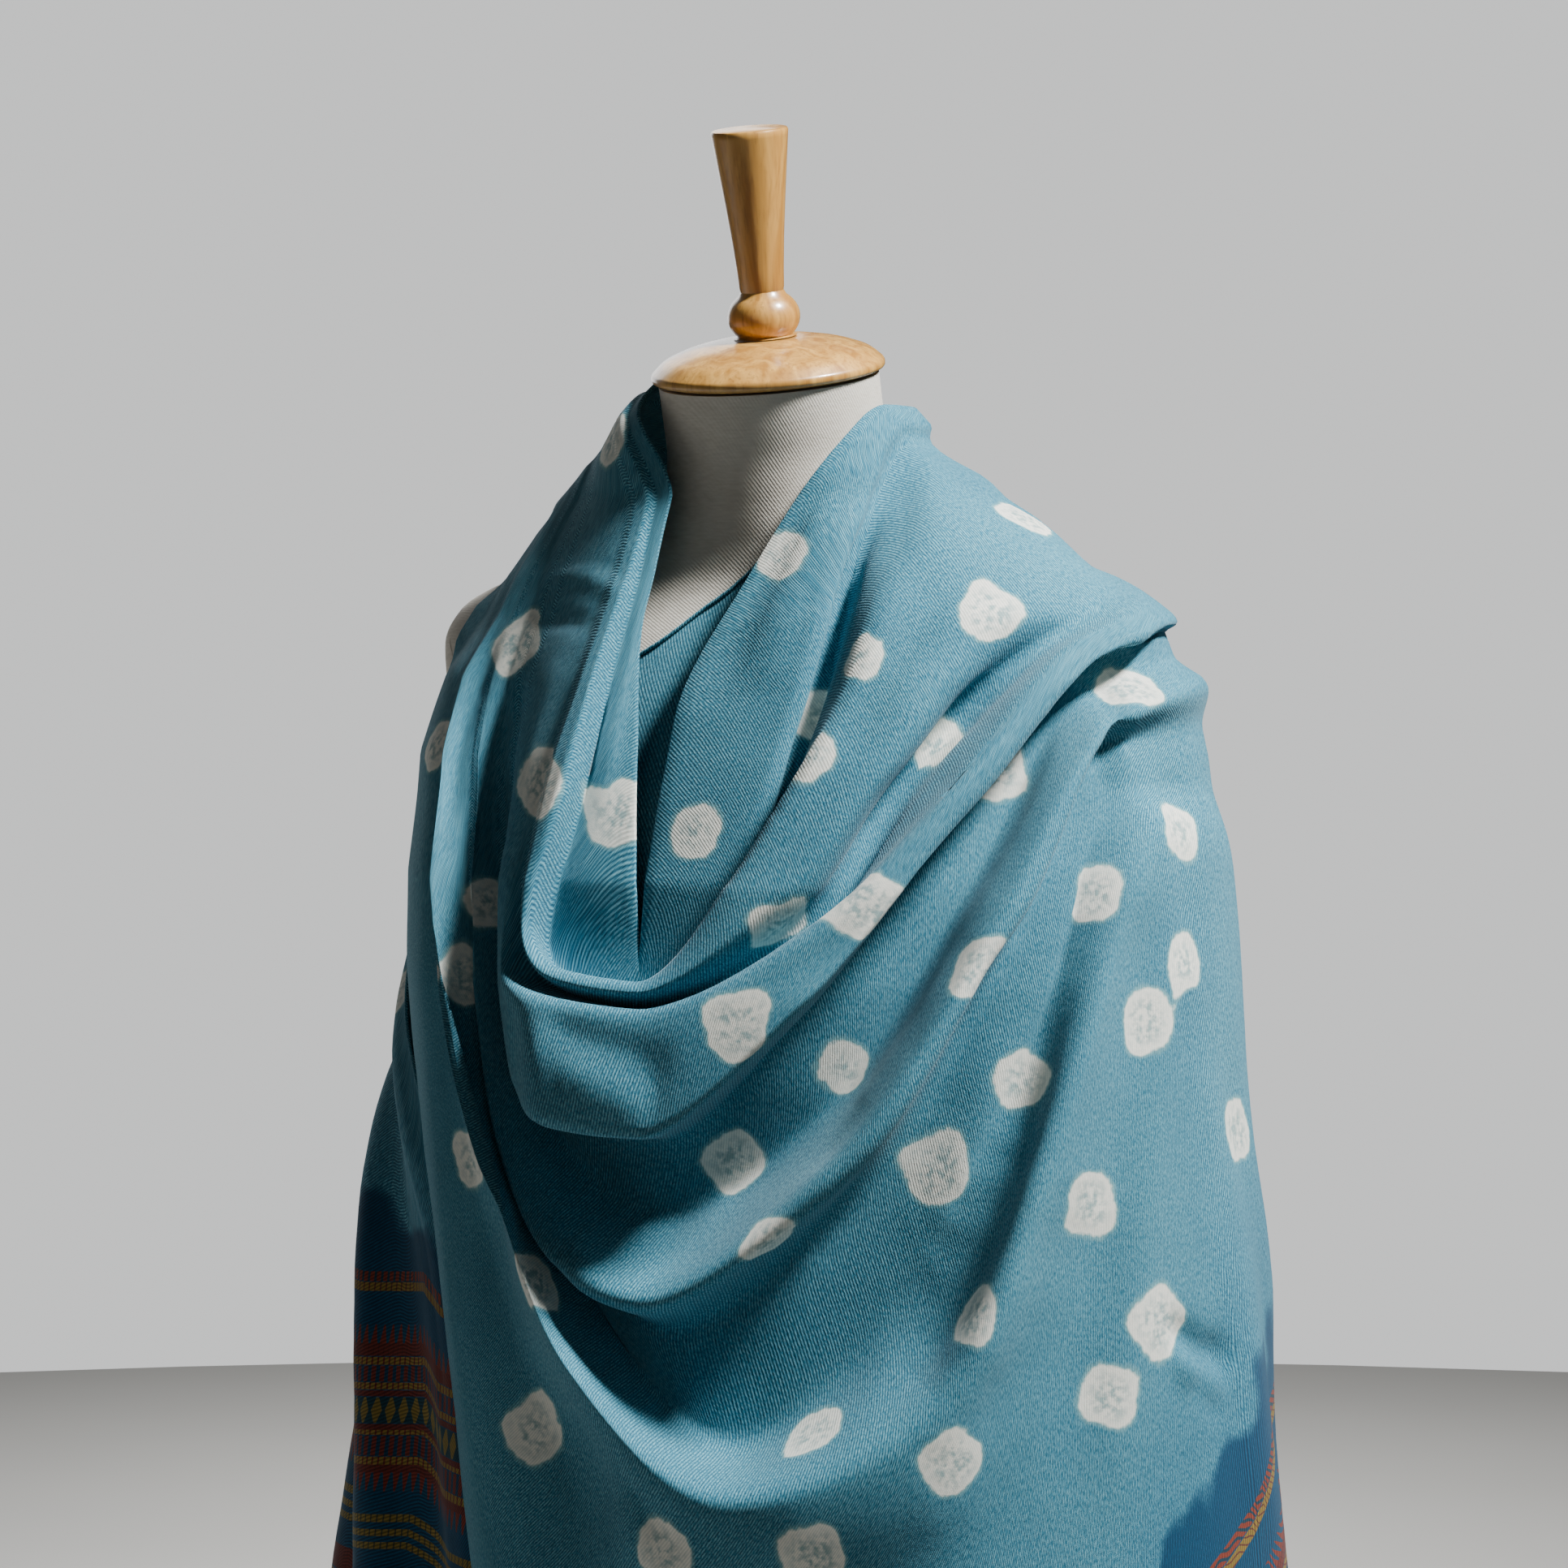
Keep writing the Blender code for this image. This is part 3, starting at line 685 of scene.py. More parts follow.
# Fold lines: name, then how far each stands out on the right arm of the cowl, at its low point and on
# its left arm
RELIEF = [
    ("inner", -1.9, -2.3, -1.7),
    ("strip", -1.6, -2.2, -0.6),
    ("cleft", -1.5, -1.8, -2.8),
    ("lip2", 0.7, 0.1, 0.7),
    ("roll", 0.7, 0.7, 1.3),
    ("groove", 0.2, -1.3, -2.2),
    ("lip1", -0.1, 1.1, 1.2),
    ("pouch", -0.6, 2.1, 1.4),
    ("brim", -1.4, 2.4, 1.2),
    ("tuck", -2.0, -2.6, -2.3),
    ("recess", -2.0, -3.9, -2.6),
    ("third", -0.9, 1.4, 1.1),
    ("under", -0.4, -2.8, -1.1),
    ("belly", 0.4, -2.7, -1.0),
    ("long", 1.2, 2.6, 1.3),
    ("panel", 0.2, 0.4, 0.2),
    ("side", 0.5, 0.6, 0.2),
    ("hem", -0.5, -0.3, 0.0),
]

# Fold lines: name, then an azimuth for each station
FOLD_AZIMUTHS = [
    ("inner", [-162, -100, -62, -21, -20, -13, -7, -6, -5, -5, -5, 13, 70, 164, 175, 178]),
    ("strip", [-160, -99, -63, -23, -21, -18, -19, -13, -5, 13, 27, 42, 75, 160, 172, 175]),
    ("cleft", [-158, -99, -65, -25, -23, -22, -24, -18, -3, 17, 29, 46, 80, 156, 169, 172]),
    ("lip2", [-156, -98, -66, -27, -24, -21, -22, -16, -1, 14, 31, 50, 79, 152, 166, 169]),
    ("roll", [-153, -98, -68, -30, -26, -24, -22, -16, 0, 21, 37, 57, 87, 147, 163, 166]),
    ("groove", [-151, -97, -69, -33, -29, -27, -24, -16, -1, 26, 45, 70, 94, 141, 159, 162]),
    ("lip1", [-149, -97, -69, -38, -32, -29, -25, -14, 1, 28, 47, 72, 93, 136, 155, 158]),
    ("pouch", [-146, -96, -69, -44, -38, -34, -21, -13, 2, 26, 48, 73, 93, 132, 151, 154]),
    ("brim", [-143, -96, -70, -51, -45, -36, -21, -11, 3, 25, 49, 74, 93, 128, 148, 151]),
    ("tuck", [-140, -96, -70, -57, -51, -40, -26, -14, 1, 27, 52, 76, 95, 125, 145, 148]),
    ("recess", [-136, -95, -71, -60, -54, -42, -25, -13, 1, 31, 54, 76, 96, 122, 141, 145]),
    ("third", [-132, -95, -71, -62, -56, -42, -25, -11, 3, 31, 52, 74, 94, 119, 137, 141]),
    ("under", [-128, -95, -72, -63, -57, -43, -25, -9, 3, 36, 55, 75, 95, 117, 133, 138]),
    ("belly", [-124, -94, -73, -64, -58, -43, -25, -5, 14, 41, 58, 76, 95, 115, 130, 134]),
    ("long", [-119, -94, -74, -66, -59, -44, -22, -6, 16, 42, 57, 76, 92, 112, 126, 131]),
    ("panel", [-114, -93, -75, -69, -62, -47, -30, -12, 5, 45, 65, 80, 94, 110, 121, 127]),
    ("side", [-110, -93, -77, -72, -66, -51, -38, -23, -3, 47, 70, 84, 94, 108, 116, 123]),
    ("hem", [-106, -92, -79, -77, -76, -69, -46, -20, -4, 50, 75, 90, 99, 106, 110, 118]),
]

# Fold lines: name, then a height for each station
FOLD_HEIGHTS = [
    ("inner", [142.5, 145.4, 144.9, 139, 133.4, 126.2, 119.2, 117.2, 116, 120, 128, 135.6, 143.6, 142.8, 100, 62]),
    ("strip", [142.2, 145.1, 144.7, 138.8, 132.9, 124, 118.1, 116, 114.8, 119.2, 128.7, 137.3, 142.8, 142.2, 99, 61.8]),
    ("cleft", [141.9, 144.8, 144.5, 138.6, 132.4, 123.9, 117.2, 115, 113.8, 119.2, 128.1, 136.5, 141.7, 141.6, 98, 61.6]),
    ("lip2", [141.5, 144.5, 144.3, 138.4, 132, 124.4, 118.3, 116, 115.5, 120.2, 127.6, 135.8, 139.3, 140.6, 97, 61.4]),
    ("roll", [141, 144.2, 144, 138.1, 131.4, 123.8, 117.6, 115.6, 115, 119.4, 125.3, 132.4, 137.6, 139.2, 95, 61.2]),
    ("groove", [140.4, 143.8, 143.7, 137.8, 131.2, 123.4, 116.3, 114.6, 114, 117.8, 124.9, 131.6, 135, 137.3, 93, 61]),
    ("lip1", [139.9, 143.3, 143.3, 137.5, 131, 122.6, 115.7, 114.6, 114.3, 118.3, 124.1, 132.1, 134, 135.8, 91.5, 60.8]),
    ("pouch", [139.3, 142.7, 142.8, 137.3, 131, 121.8, 113.1, 112.2, 111.2, 116, 124.3, 131.7, 133.3, 134.2, 90, 60.7]),
    ("brim", [138.7, 141.9, 142, 137.1, 130.9, 121.3, 110.3, 108.6, 108.3, 114.5, 123.9, 131.3, 132.7, 132.8, 88.5, 60.6]),
    ("tuck", [138.2, 141.4, 141.6, 136.9, 130.8, 121, 109.4, 107.9, 107.6, 113.4, 123.2, 130.9, 132.2, 131.4, 87, 60.5]),
    ("recess", [137.6, 140.8, 141.1, 136.8, 130.7, 120.8, 107.9, 104.8, 104, 109.4, 119.8, 129.6, 131, 129.4, 85, 60.4]),
    ("third", [137, 140.2, 140.6, 136.7, 130.6, 120.6, 107.1, 101.9, 100.2, 106.9, 118, 128.3, 129.5, 126.8, 82.5, 60.3]),
    ("under", [136.3, 139.6, 140, 136.5, 130.5, 120.5, 106.6, 100, 98.2, 104.8, 115.6, 126.7, 127.4, 123.6, 80, 60.2]),
    ("belly", [135.6, 139, 139.4, 136.4, 130.4, 120.4, 106, 96.8, 93.3, 100.1, 112.1, 124.9, 124.8, 119, 77, 60.2]),
    ("long", [134.7, 138.4, 138.8, 136.2, 130.3, 120.3, 106.2, 96.8, 91, 95.3, 108.4, 122, 121, 112, 73, 60.1]),
    ("panel", [133.7, 137.7, 138, 136, 130, 120.1, 104.6, 92, 81.5, 86.8, 98.4, 110.5, 109, 98, 68, 60.1]),
    ("side", [132.7, 137, 137.2, 135.8, 129.7, 120, 105.2, 87.5, 75, 77.6, 86.2, 96, 94.5, 80, 64, 60.1]),
    ("hem", [131.7, 136.3, 136.4, 135.4, 129.2, 119.5, 105, 76, 65.5, 63.5, 62.5, 62, 61.5, 61, 60.6, 60]),
]

# Levels of the end at the right side, from its hem up to the right shoulder: azimuth of its edge at the
# back and of its forward edge, height of each, how far its folds are open
RIGHT_END = [
    ("edge", -177, -4, 62.0, 60.5, 1.0),
    ("hip", -176, -16, 82.0, 81.0, 1.0),
    ("waist", -174, -34, 102.0, 100.0, 0.6),
    ("blade", -171, -82, 122.0, 117.0, 0.5),
]
RIGHT_END_FOLDS = 7
RIGHT_END_RELIEF = 0.9
RIGHT_END_FOLD_DRIFT = 0.8
RIGHT_END_FOLD_DRIFT_RATE = 5.0
RIGHT_END_SET_BACK = -1.3
SET_BACK_AZIMUTH = -64.0
SET_BACK_SPREAD = 16.0

LAST_LEVEL = len(RIGHT_END) + len(STATIONS) - 1
LAST_LINE = len(RELIEF) - 1
print("levels:", LAST_LEVEL, "fold lines:", LAST_LINE + 1)

# %% From tables to points
REST_BLEND = 0.3


def wrap_radius(azimuth, height):
    """Radius of the body of air at an azimuth and a height, in centimetres."""
    heights, right, left, front, back = np.array(WRAP).T
    sine = np.sin(np.radians(azimuth))
    cosine = np.cos(np.radians(azimuth))
    side = np.where(sine >= 0, np.interp(height, heights, left), np.interp(height, heights, right))
    face = np.where(cosine >= 0, np.interp(height, heights, front), np.interp(height, heights, back))
    return 1.0 / np.sqrt((sine / side) ** 2 + (cosine / face) ** 2)


def resting_radius(azimuth, height, clearance=FORM_CLEARANCE):
    """Radius at which cloth lies on the form."""
    return form_radius(azimuth, height - clearance) + clearance


def smooth_maximum(one, other, blend):
    """Larger of two values, rounded where they meet."""
    return 0.5 * (one + other + np.sqrt((one - other) ** 2 + blend**2))


def to_point(azimuth, height, relief):
    """Point in centimetres at an azimuth, a height and a distance out of the body of air."""
    radius = smooth_maximum(wrap_radius(azimuth, height) + relief, resting_radius(azimuth, height), REST_BLEND)
    angle = np.radians(azimuth)
    return np.stack([radius * np.sin(angle), -radius * np.cos(angle), height], axis=-1)


def relief_table():
    """Relief at each station of each fold line."""
    right, low, left = np.array([row[1:] for row in RELIEF]).T
    rows = []
    for station, (gain, share) in enumerate(zip(GAIN, LOW_SHARE)):
        arm = right if station < LOW_STATION else left
        rows.append(gain * (share * low + (1 - share) * arm))
    return np.array(rows)


def station_lines(across):
    """Azimuth, height and relief along every station, at places counted in fold lines."""
    azimuths = np.array([row[1] for row in FOLD_AZIMUTHS])
    heights = np.array([row[1] for row in FOLD_HEIGHTS])
    table = np.stack([azimuths, heights, relief_table().T], axis=-1)
    return np.swapaxes(hermite(table, across), 0, 1)


def right_end_lines(across):
    """Azimuth, height and relief along every level of the right end."""
    lines = []
    share = across / LAST_LINE
    drift = RIGHT_END_FOLD_DRIFT * np.sin(RIGHT_END_FOLD_DRIFT_RATE * share)
    wave = np.sin(2 * math.pi * RIGHT_END_FOLDS * share + drift)
    for _, back, forward, back_height, forward_height, opening in RIGHT_END:
        azimuth = back * (1 - share) + forward * share
        height = back_height * (1 - share) + forward_height * share
        tucked = RIGHT_END_SET_BACK * np.clip((azimuth - SET_BACK_AZIMUTH) / SET_BACK_SPREAD, 0.0, 1.0)
        lines.append(np.stack([azimuth, height, RIGHT_END_RELIEF * opening * wave + tucked], axis=-1))
    return np.array(lines)


def draped_cloth(along, across):
    """Grid of points for levels along the cloth and places across it, counted in fold lines."""
    lines = np.concatenate([right_end_lines(across), station_lines(across)])
    grid = hermite(lines, along)
    return to_point(grid[..., 0], grid[..., 1], grid[..., 2])


# %% [markdown]
# ## A grid that is as fine as it needs to be
#
# Small folds need small faces, but a sheet of two square metres has room for few. The steps along the cloth
# and across it are worked out from its measured lengths: short in front, where the picture looks, and longer
# behind.

# %% Steps of the grid
FRONT_STEP = 0.46
BACK_STEP = 0.95
ACROSS_STEP = 0.42
FRONT_LEVELS = (4.0, 17.0)
PROBE = 0.25


def stepped_places(last, lengths, steps):
    """Places from 0 to last with a step of about the wanted length in each probed piece."""
    places_found = [0.0]
    for piece, (length, step) in enumerate(zip(lengths, steps)):
        count = max(1, round(length / step))
        places_found += [PROBE * (piece + (part + 1) / count) for part in range(count)]
    return np.array(places_found)


probe_along = np.arange(0.0, LAST_LEVEL + PROBE / 2, PROBE)
probe_across = np.arange(0.0, LAST_LINE + PROBE / 2, PROBE)
probe = draped_cloth(probe_along, probe_across)
lengths_along = np.percentile(np.linalg.norm(np.diff(probe, axis=0), axis=-1), 70, axis=1)
in_front = (probe_along[:-1] >= FRONT_LEVELS[0]) & (probe_along[:-1] < FRONT_LEVELS[1])
lengths_across = np.percentile(np.linalg.norm(np.diff(probe, axis=1), axis=-1)[20:68], 70, axis=0)
along = stepped_places(LAST_LEVEL, lengths_along, np.where(in_front, FRONT_STEP, BACK_STEP))
across = stepped_places(LAST_LINE, lengths_across, np.full(len(lengths_across), ACROSS_STEP))
cloth = draped_cloth(along, across)
print("grid:", cloth.shape[:2], "about", 2 * (len(along) - 1) * (len(across) - 1), "triangles")


# %% [markdown]
# ## Finding places on the cloth
#
# Spots and creases are placed where the picture shows them. A ray through a pixel meets the sheet, and the
# face that it meets tells the row and the column of the grid. Distances from there are measured along the
# sheet, so that a spot wraps over a fold as dye does, and nothing leaks through to the layer behind.

# %% Rays and distances
def grid_tree(points):
    """Search tree of a grid's faces, in metres."""
    numbers = np.arange(points.shape[0] * points.shape[1]).reshape(points.shape[:2])
    corners = (numbers[:-1, :-1], numbers[:-1, 1:], numbers[1:, 1:], numbers[1:, :-1])
    faces = np.stack(corners, axis=-1).reshape(-1, 4)
    return BVHTree.FromPolygons((points.reshape(-1, 3) * CM).tolist(), faces.tolist())


def seen_cell(trees, widths, across_pixel, down_pixel):
    """Number of the sheet that a pixel shows, with the row and column there, or None."""
    best = None
    direction = pixel_ray(across_pixel, down_pixel)
    for number, (tree, columns) in enumerate(zip(trees, widths)):
        place, _, face, distance = tree.ray_cast(EYE, direction)
        if place is not None and (best is None or distance < best[0]):
            best = (distance, number) + divmod(face, columns - 1)
    return best[1:] if best else None


def arc_lengths(points, axis):
    """Length along the grid from its first line, in centimetres."""
    steps = np.linalg.norm(np.diff(points, axis=axis), axis=-1)
    start = np.zeros_like(np.take(steps, [0], axis=axis))
    return np.concatenate([start, np.cumsum(steps, axis=axis)], axis=axis)


def offsets_near(points, arcs_down, arcs_over, row, column, reach):
    """Window of the grid round a place, with each vertex's distances on the sheet from it, in centimetres."""
    rows, columns = points.shape[:2]
    whole_row = min(max(int(row), 1), rows - 2)
    whole_column = min(max(int(column), 1), columns - 2)
    over = points[whole_row, whole_column + 1] - points[whole_row, whole_column - 1]
    down = points[whole_row + 1, whole_column] - points[whole_row - 1, whole_column]
    step_over = max(np.linalg.norm(over) / 2, 0.05)
    step_down = max(np.linalg.norm(down) / 2, 0.05)
    lean = float(np.dot(over, down) / (np.linalg.norm(over) * np.linalg.norm(down) + 1e-9))
    upright_share = math.sqrt(max(1 - lean**2, 0.04))
    span_over = int(reach / step_over / upright_share) + 2
    span_down = int(reach / step_down / upright_share) + 2
    window = (
        slice(max(whole_row - span_down, 0), min(whole_row + span_down + 1, rows)),
        slice(max(whole_column - span_over, 0), min(whole_column + span_over + 1, columns)),
    )
    past_over = (column - whole_column) * step_over
    past_down = (row - whole_row) * step_down
    here = arcs_over[window] - arcs_over[window[0], whole_column][:, None] - past_over
    along_column = (arcs_down[window[0], whole_column] - arcs_down[whole_row, whole_column])[:, None]
    along_each = arcs_down[window] - arcs_down[whole_row, window[1]][None, :] - past_down
    return window, here + (along_column - past_down) * lean, along_each * upright_share


# %% [markdown]
# ## Creases
#
# A real cloth has many folds that are too small for the solid: soft troughs beside the rolls, thin lines where
# the layers are pressed together, press marks from when it lay folded. Each one here is a line in the picture
# with a height and a width. A positive height is a ridge. The sheet moves out along its own normal by a soft
# bell shape that fades at both ends.

# %% Creases that the picture shows
# Name, height in mm, width in mm, then pixels of the picture along its line
SEEN_CREASES = [
    ("strip_valley", -4.0, 13, [(655, 800), (632, 870), (614, 940), (610, 1010), (614, 1080)]),
    ("strip_crest", 2.0, 12, [(762, 825), (745, 880), (705, 960), (680, 1010), (664, 1080)]),
    ("strip_line_a", -3.0, 6, [(645, 705), (612, 770), (590, 830), (570, 880), (556, 930), (548, 1000), (540, 1090)]),
    ("strip_line_b", -2.4, 6, [(618, 780), (590, 840), (572, 900), (560, 1000), (556, 1060)]),
    ("press_upper", 1.3, 4, [(656, 712), (700, 716), (745, 722), (782, 729)]),
    ("press_lower", -1.1, 4, [(610, 768), (650, 768), (700, 774), (738, 780)]),
    ("inner_arm_trough", -2.5, 9, [(1040, 570), (1000, 630), (962, 700), (930, 770), (905, 840), (885, 900)]),
    ("inner_arm_ridge", 2.5, 10, [(1070, 560), (1030, 620), (1000, 690), (975, 770), (955, 850)]),
    ("upper_roll_trough", -3.0, 12, [(1040, 940), (1070, 880), (1115, 800), (1165, 740), (1220, 690)]),
    ("upper_roll_ridge", 2.2, 12, [(1090, 930), (1130, 850), (1180, 780), (1235, 720)]),
    ("roll_trough", -2.5, 9, [(1040, 1085), (1095, 1000), (1150, 920), (1215, 850), (1290, 795)]),
    ("pouch_crease", -2.8, 11, [(640, 1235), (690, 1270), (770, 1322), (840, 1352)]),
    ("pouch_crease_low", 1.8, 9, [(670, 1300), (740, 1342), (810, 1364)]),
    ("third_crest_arm", 3.0, 14, [(1010, 1440), (1070, 1360), (1130, 1270), (1180, 1180), (1230, 1080), (1285, 980)]),
    ("fourth_trough", -3.5, 16, [(930, 1600), (1010, 1530), (1090, 1430), (1160, 1320), (1220, 1200), (1290, 1060)]),
    ("belly_ripple", 2.0, 16, [(740, 1500), (800, 1530), (870, 1510), (930, 1450)]),
    ("long_ridge", 2.5, 12, [(576, 1110), (600, 1210), (628, 1330), (666, 1450), (718, 1580), (776, 1710)]),
    ("long_valley", -4.5, 15, [(550, 1080), (556, 1200), (568, 1320), (592, 1410), (614, 1520), (640, 1640)]),
    ("long_valley_low", -3.0, 22, [(640, 1640), (680, 1740), (730, 1830), (780, 1900)]),
    ("lower_crease", -3.2, 13, [(775, 1820), (805, 1880), (840, 1930)]),
    ("lower_ridge", 2.4, 12, [(745, 1822), (780, 1886), (812, 1930)]),
    ("lit_ridge", 5.5, 16, [(1395, 980), (1340, 1080), (1292, 1180), (1250, 1290), (1192, 1450), (1122, 1640)]),
    ("dark_valley", -8.0, 17, [(1332, 1160), (1284, 1330), (1258, 1420), (1228, 1500), (1162, 1640), (1060, 1780)]),
    ("right_ridge", 5.5, 17, [(1372, 1100), (1322, 1300), (1252, 1570), (1172, 1730), (1100, 1800)]),
    ("soft_ridge", 3.0, 16, [(1456, 1000), (1436, 1300), (1410, 1500), (1386, 1700), (1362, 1925)]),
    ("soft_trough", -3.0, 18, [(1420, 1020), (1398, 1300), (1368, 1500), (1335, 1700), (1300, 1925)]),
    ("shoulder_pinch", -3.6, 7, [(1372, 810), (1364, 850), (1360, 920), (1364, 1000)]),
    ("shoulder_pinch_ridge", 2.6, 8, [(1390, 810), (1382, 860), (1380, 930), (1386, 1000)]),
    ("shoulder_arch", 3.0, 9, [(1376, 800), (1396, 788), (1422, 796), (1440, 820)]),
    ("fan_one", 2.2, 11, [(1345, 850), (1295, 960), (1240, 1090), (1190, 1200)]),
    ("fan_two", -2.0, 11, [(1358, 900), (1322, 1000), (1282, 1100), (1245, 1200)]),
    ("fan_three", 1.8, 12, [(1404, 880), (1410, 980), (1405, 1100), (1392, 1210)]),
    ("fan_four", -2.2, 12, [(1432, 880), (1450, 960), (1462, 1080), (1466, 1220)]),
    ("side_pinch_upper", -5.5, 7, [(1428, 1622), (1480, 1662), (1530, 1700)]),
    ("side_pinch_ridge", 4.0, 7, [(1440, 1658), (1480, 1700), (1512, 1738)]),
    ("side_pinch_lower", -3.5, 6, [(1462, 1692), (1490, 1726), (1508, 1756)]),
    ("upper_shoulder_a", 2.2, 10, [(1130, 530), (1152, 580), (1165, 640), (1152, 710)]),
    ("upper_shoulder_b", -2.2, 10, [(1118, 560), (1124, 620), (1116, 680), (1096, 740)]),
    ("panel_wave_a", 2.6, 22, [(575, 1500), (590, 1620), (615, 1760), (645, 1925)]),
    ("panel_wave_b", -2.4, 22, [(700, 1720), (725, 1820), (750, 1925)]),
    ("panel_wave_c", 2.4, 24, [(900, 1905), (1000, 1905), (1120, 1870), (1220, 1800)]),
    ("panel_wave_d", -3.0, 24, [(1180, 1800), (1240, 1700), (1290, 1580), (1330, 1440)]),
]

SAMPLE_STEP = 0.35
JUMP_SHARE = 2.4
JUMP_SLACK = 1.5


def bell(distance, width):
    """Soft bell shape that is one in the middle."""
    return np.exp(-((distance / width) ** 2))


def fading(share):
    """Weight along a line: full in the middle and nothing at its ends."""
    near_end = np.clip(np.minimum(share, 1 - share) * 3.2, 0.0, 1.0)
    return near_end**2 * (3 - 2 * near_end)


def crease_field(points, arcs, cells, height, width):
    """Displacement of a grid in centimetres for a line of places on it."""
    nearest = np.full(points.shape[:2], 99.0)
    share = np.zeros(points.shape[:2])
    for number, (row, column) in enumerate(cells):
        window, over, down = offsets_near(points, *arcs, row, column, 2.6 * width)
        distance = np.hypot(over, down)
        closer = distance < nearest[window]
        nearest[window] = np.where(closer, distance, nearest[window])
        share[window] = np.where(closer, number / max(len(cells) - 1, 1), share[window])
    return height * bell(nearest, width) * fading(share)


def seen_line(points, tree, corners):
    """Places on the grid along a line of pixels, without the corners that fall on another layer."""
    runs = [[]]
    for corner in corners:
        found = seen_cell([tree], [points.shape[1]], *corner)
        if found is None:
            runs.append([])
            continue
        cell = found[1:]
        if runs[-1]:
            last_cell, last_corner = runs[-1][-1]
            apart = np.linalg.norm(points[cell] - points[last_cell])
            drawn = math.dist(corner, last_corner) / PIXELS_PER_CM
            if apart > JUMP_SHARE * drawn + JUMP_SLACK:
                runs.append([])
        runs[-1].append((cell, corner))
    return [cell for cell, _ in max(runs, key=len)]


def even_cells(points, cells):
    """Places at even steps along a smooth line through cells of the grid."""
    cells = np.array(cells, dtype=float)
    if len(cells) < 3:
        return []
    fine = hermite(cells, np.linspace(0, len(cells) - 1, 40 * len(cells)))
    places_on = points[fine[:, 0].astype(int), fine[:, 1].astype(int)]
    lengths = np.concatenate([[0.0], np.cumsum(np.linalg.norm(np.diff(places_on, axis=0), axis=1))])
    stops = np.linspace(0.0, lengths[-1], max(3, round(lengths[-1] / SAMPLE_STEP)))
    rows = np.interp(stops, lengths, fine[:, 0])
    columns = np.interp(stops, lengths, fine[:, 1])
    return list(zip(rows.tolist(), columns.tolist()))


def surface_normals(points):
    """Unit normals of a grid."""
    over = np.gradient(points, axis=1)
    down = np.gradient(points, axis=0)
    normals = np.cross(over, down)
    return normals / np.maximum(np.linalg.norm(normals, axis=-1, keepdims=True), 1e-9)


cloth_arcs = (arc_lengths(cloth, 0), arc_lengths(cloth, 1))
cloth_tree = grid_tree(cloth)
relief_field = np.zeros(cloth.shape[:2])
drawn_count = 0
for name, height, width, corners in SEEN_CREASES:
    cells = even_cells(cloth, seen_line(cloth, cloth_tree, corners))
    if cells:
        relief_field += crease_field(cloth, cloth_arcs, cells, height * MM / CM, width * MM / CM)
        drawn_count += 1
print("seen creases:", drawn_count, "of", len(SEEN_CREASES), "deepest", round(relief_field.min() * 10, 1), "mm")

# %% [markdown]
# ## Creases on the hidden sides
#
# The back and the sides hang freely, so their folds run down from the shoulders. They follow the fold lines,
# at uneven distances, with uneven depth and length. Small soft waves go over the whole cloth, because no wool
# hangs quite smooth.

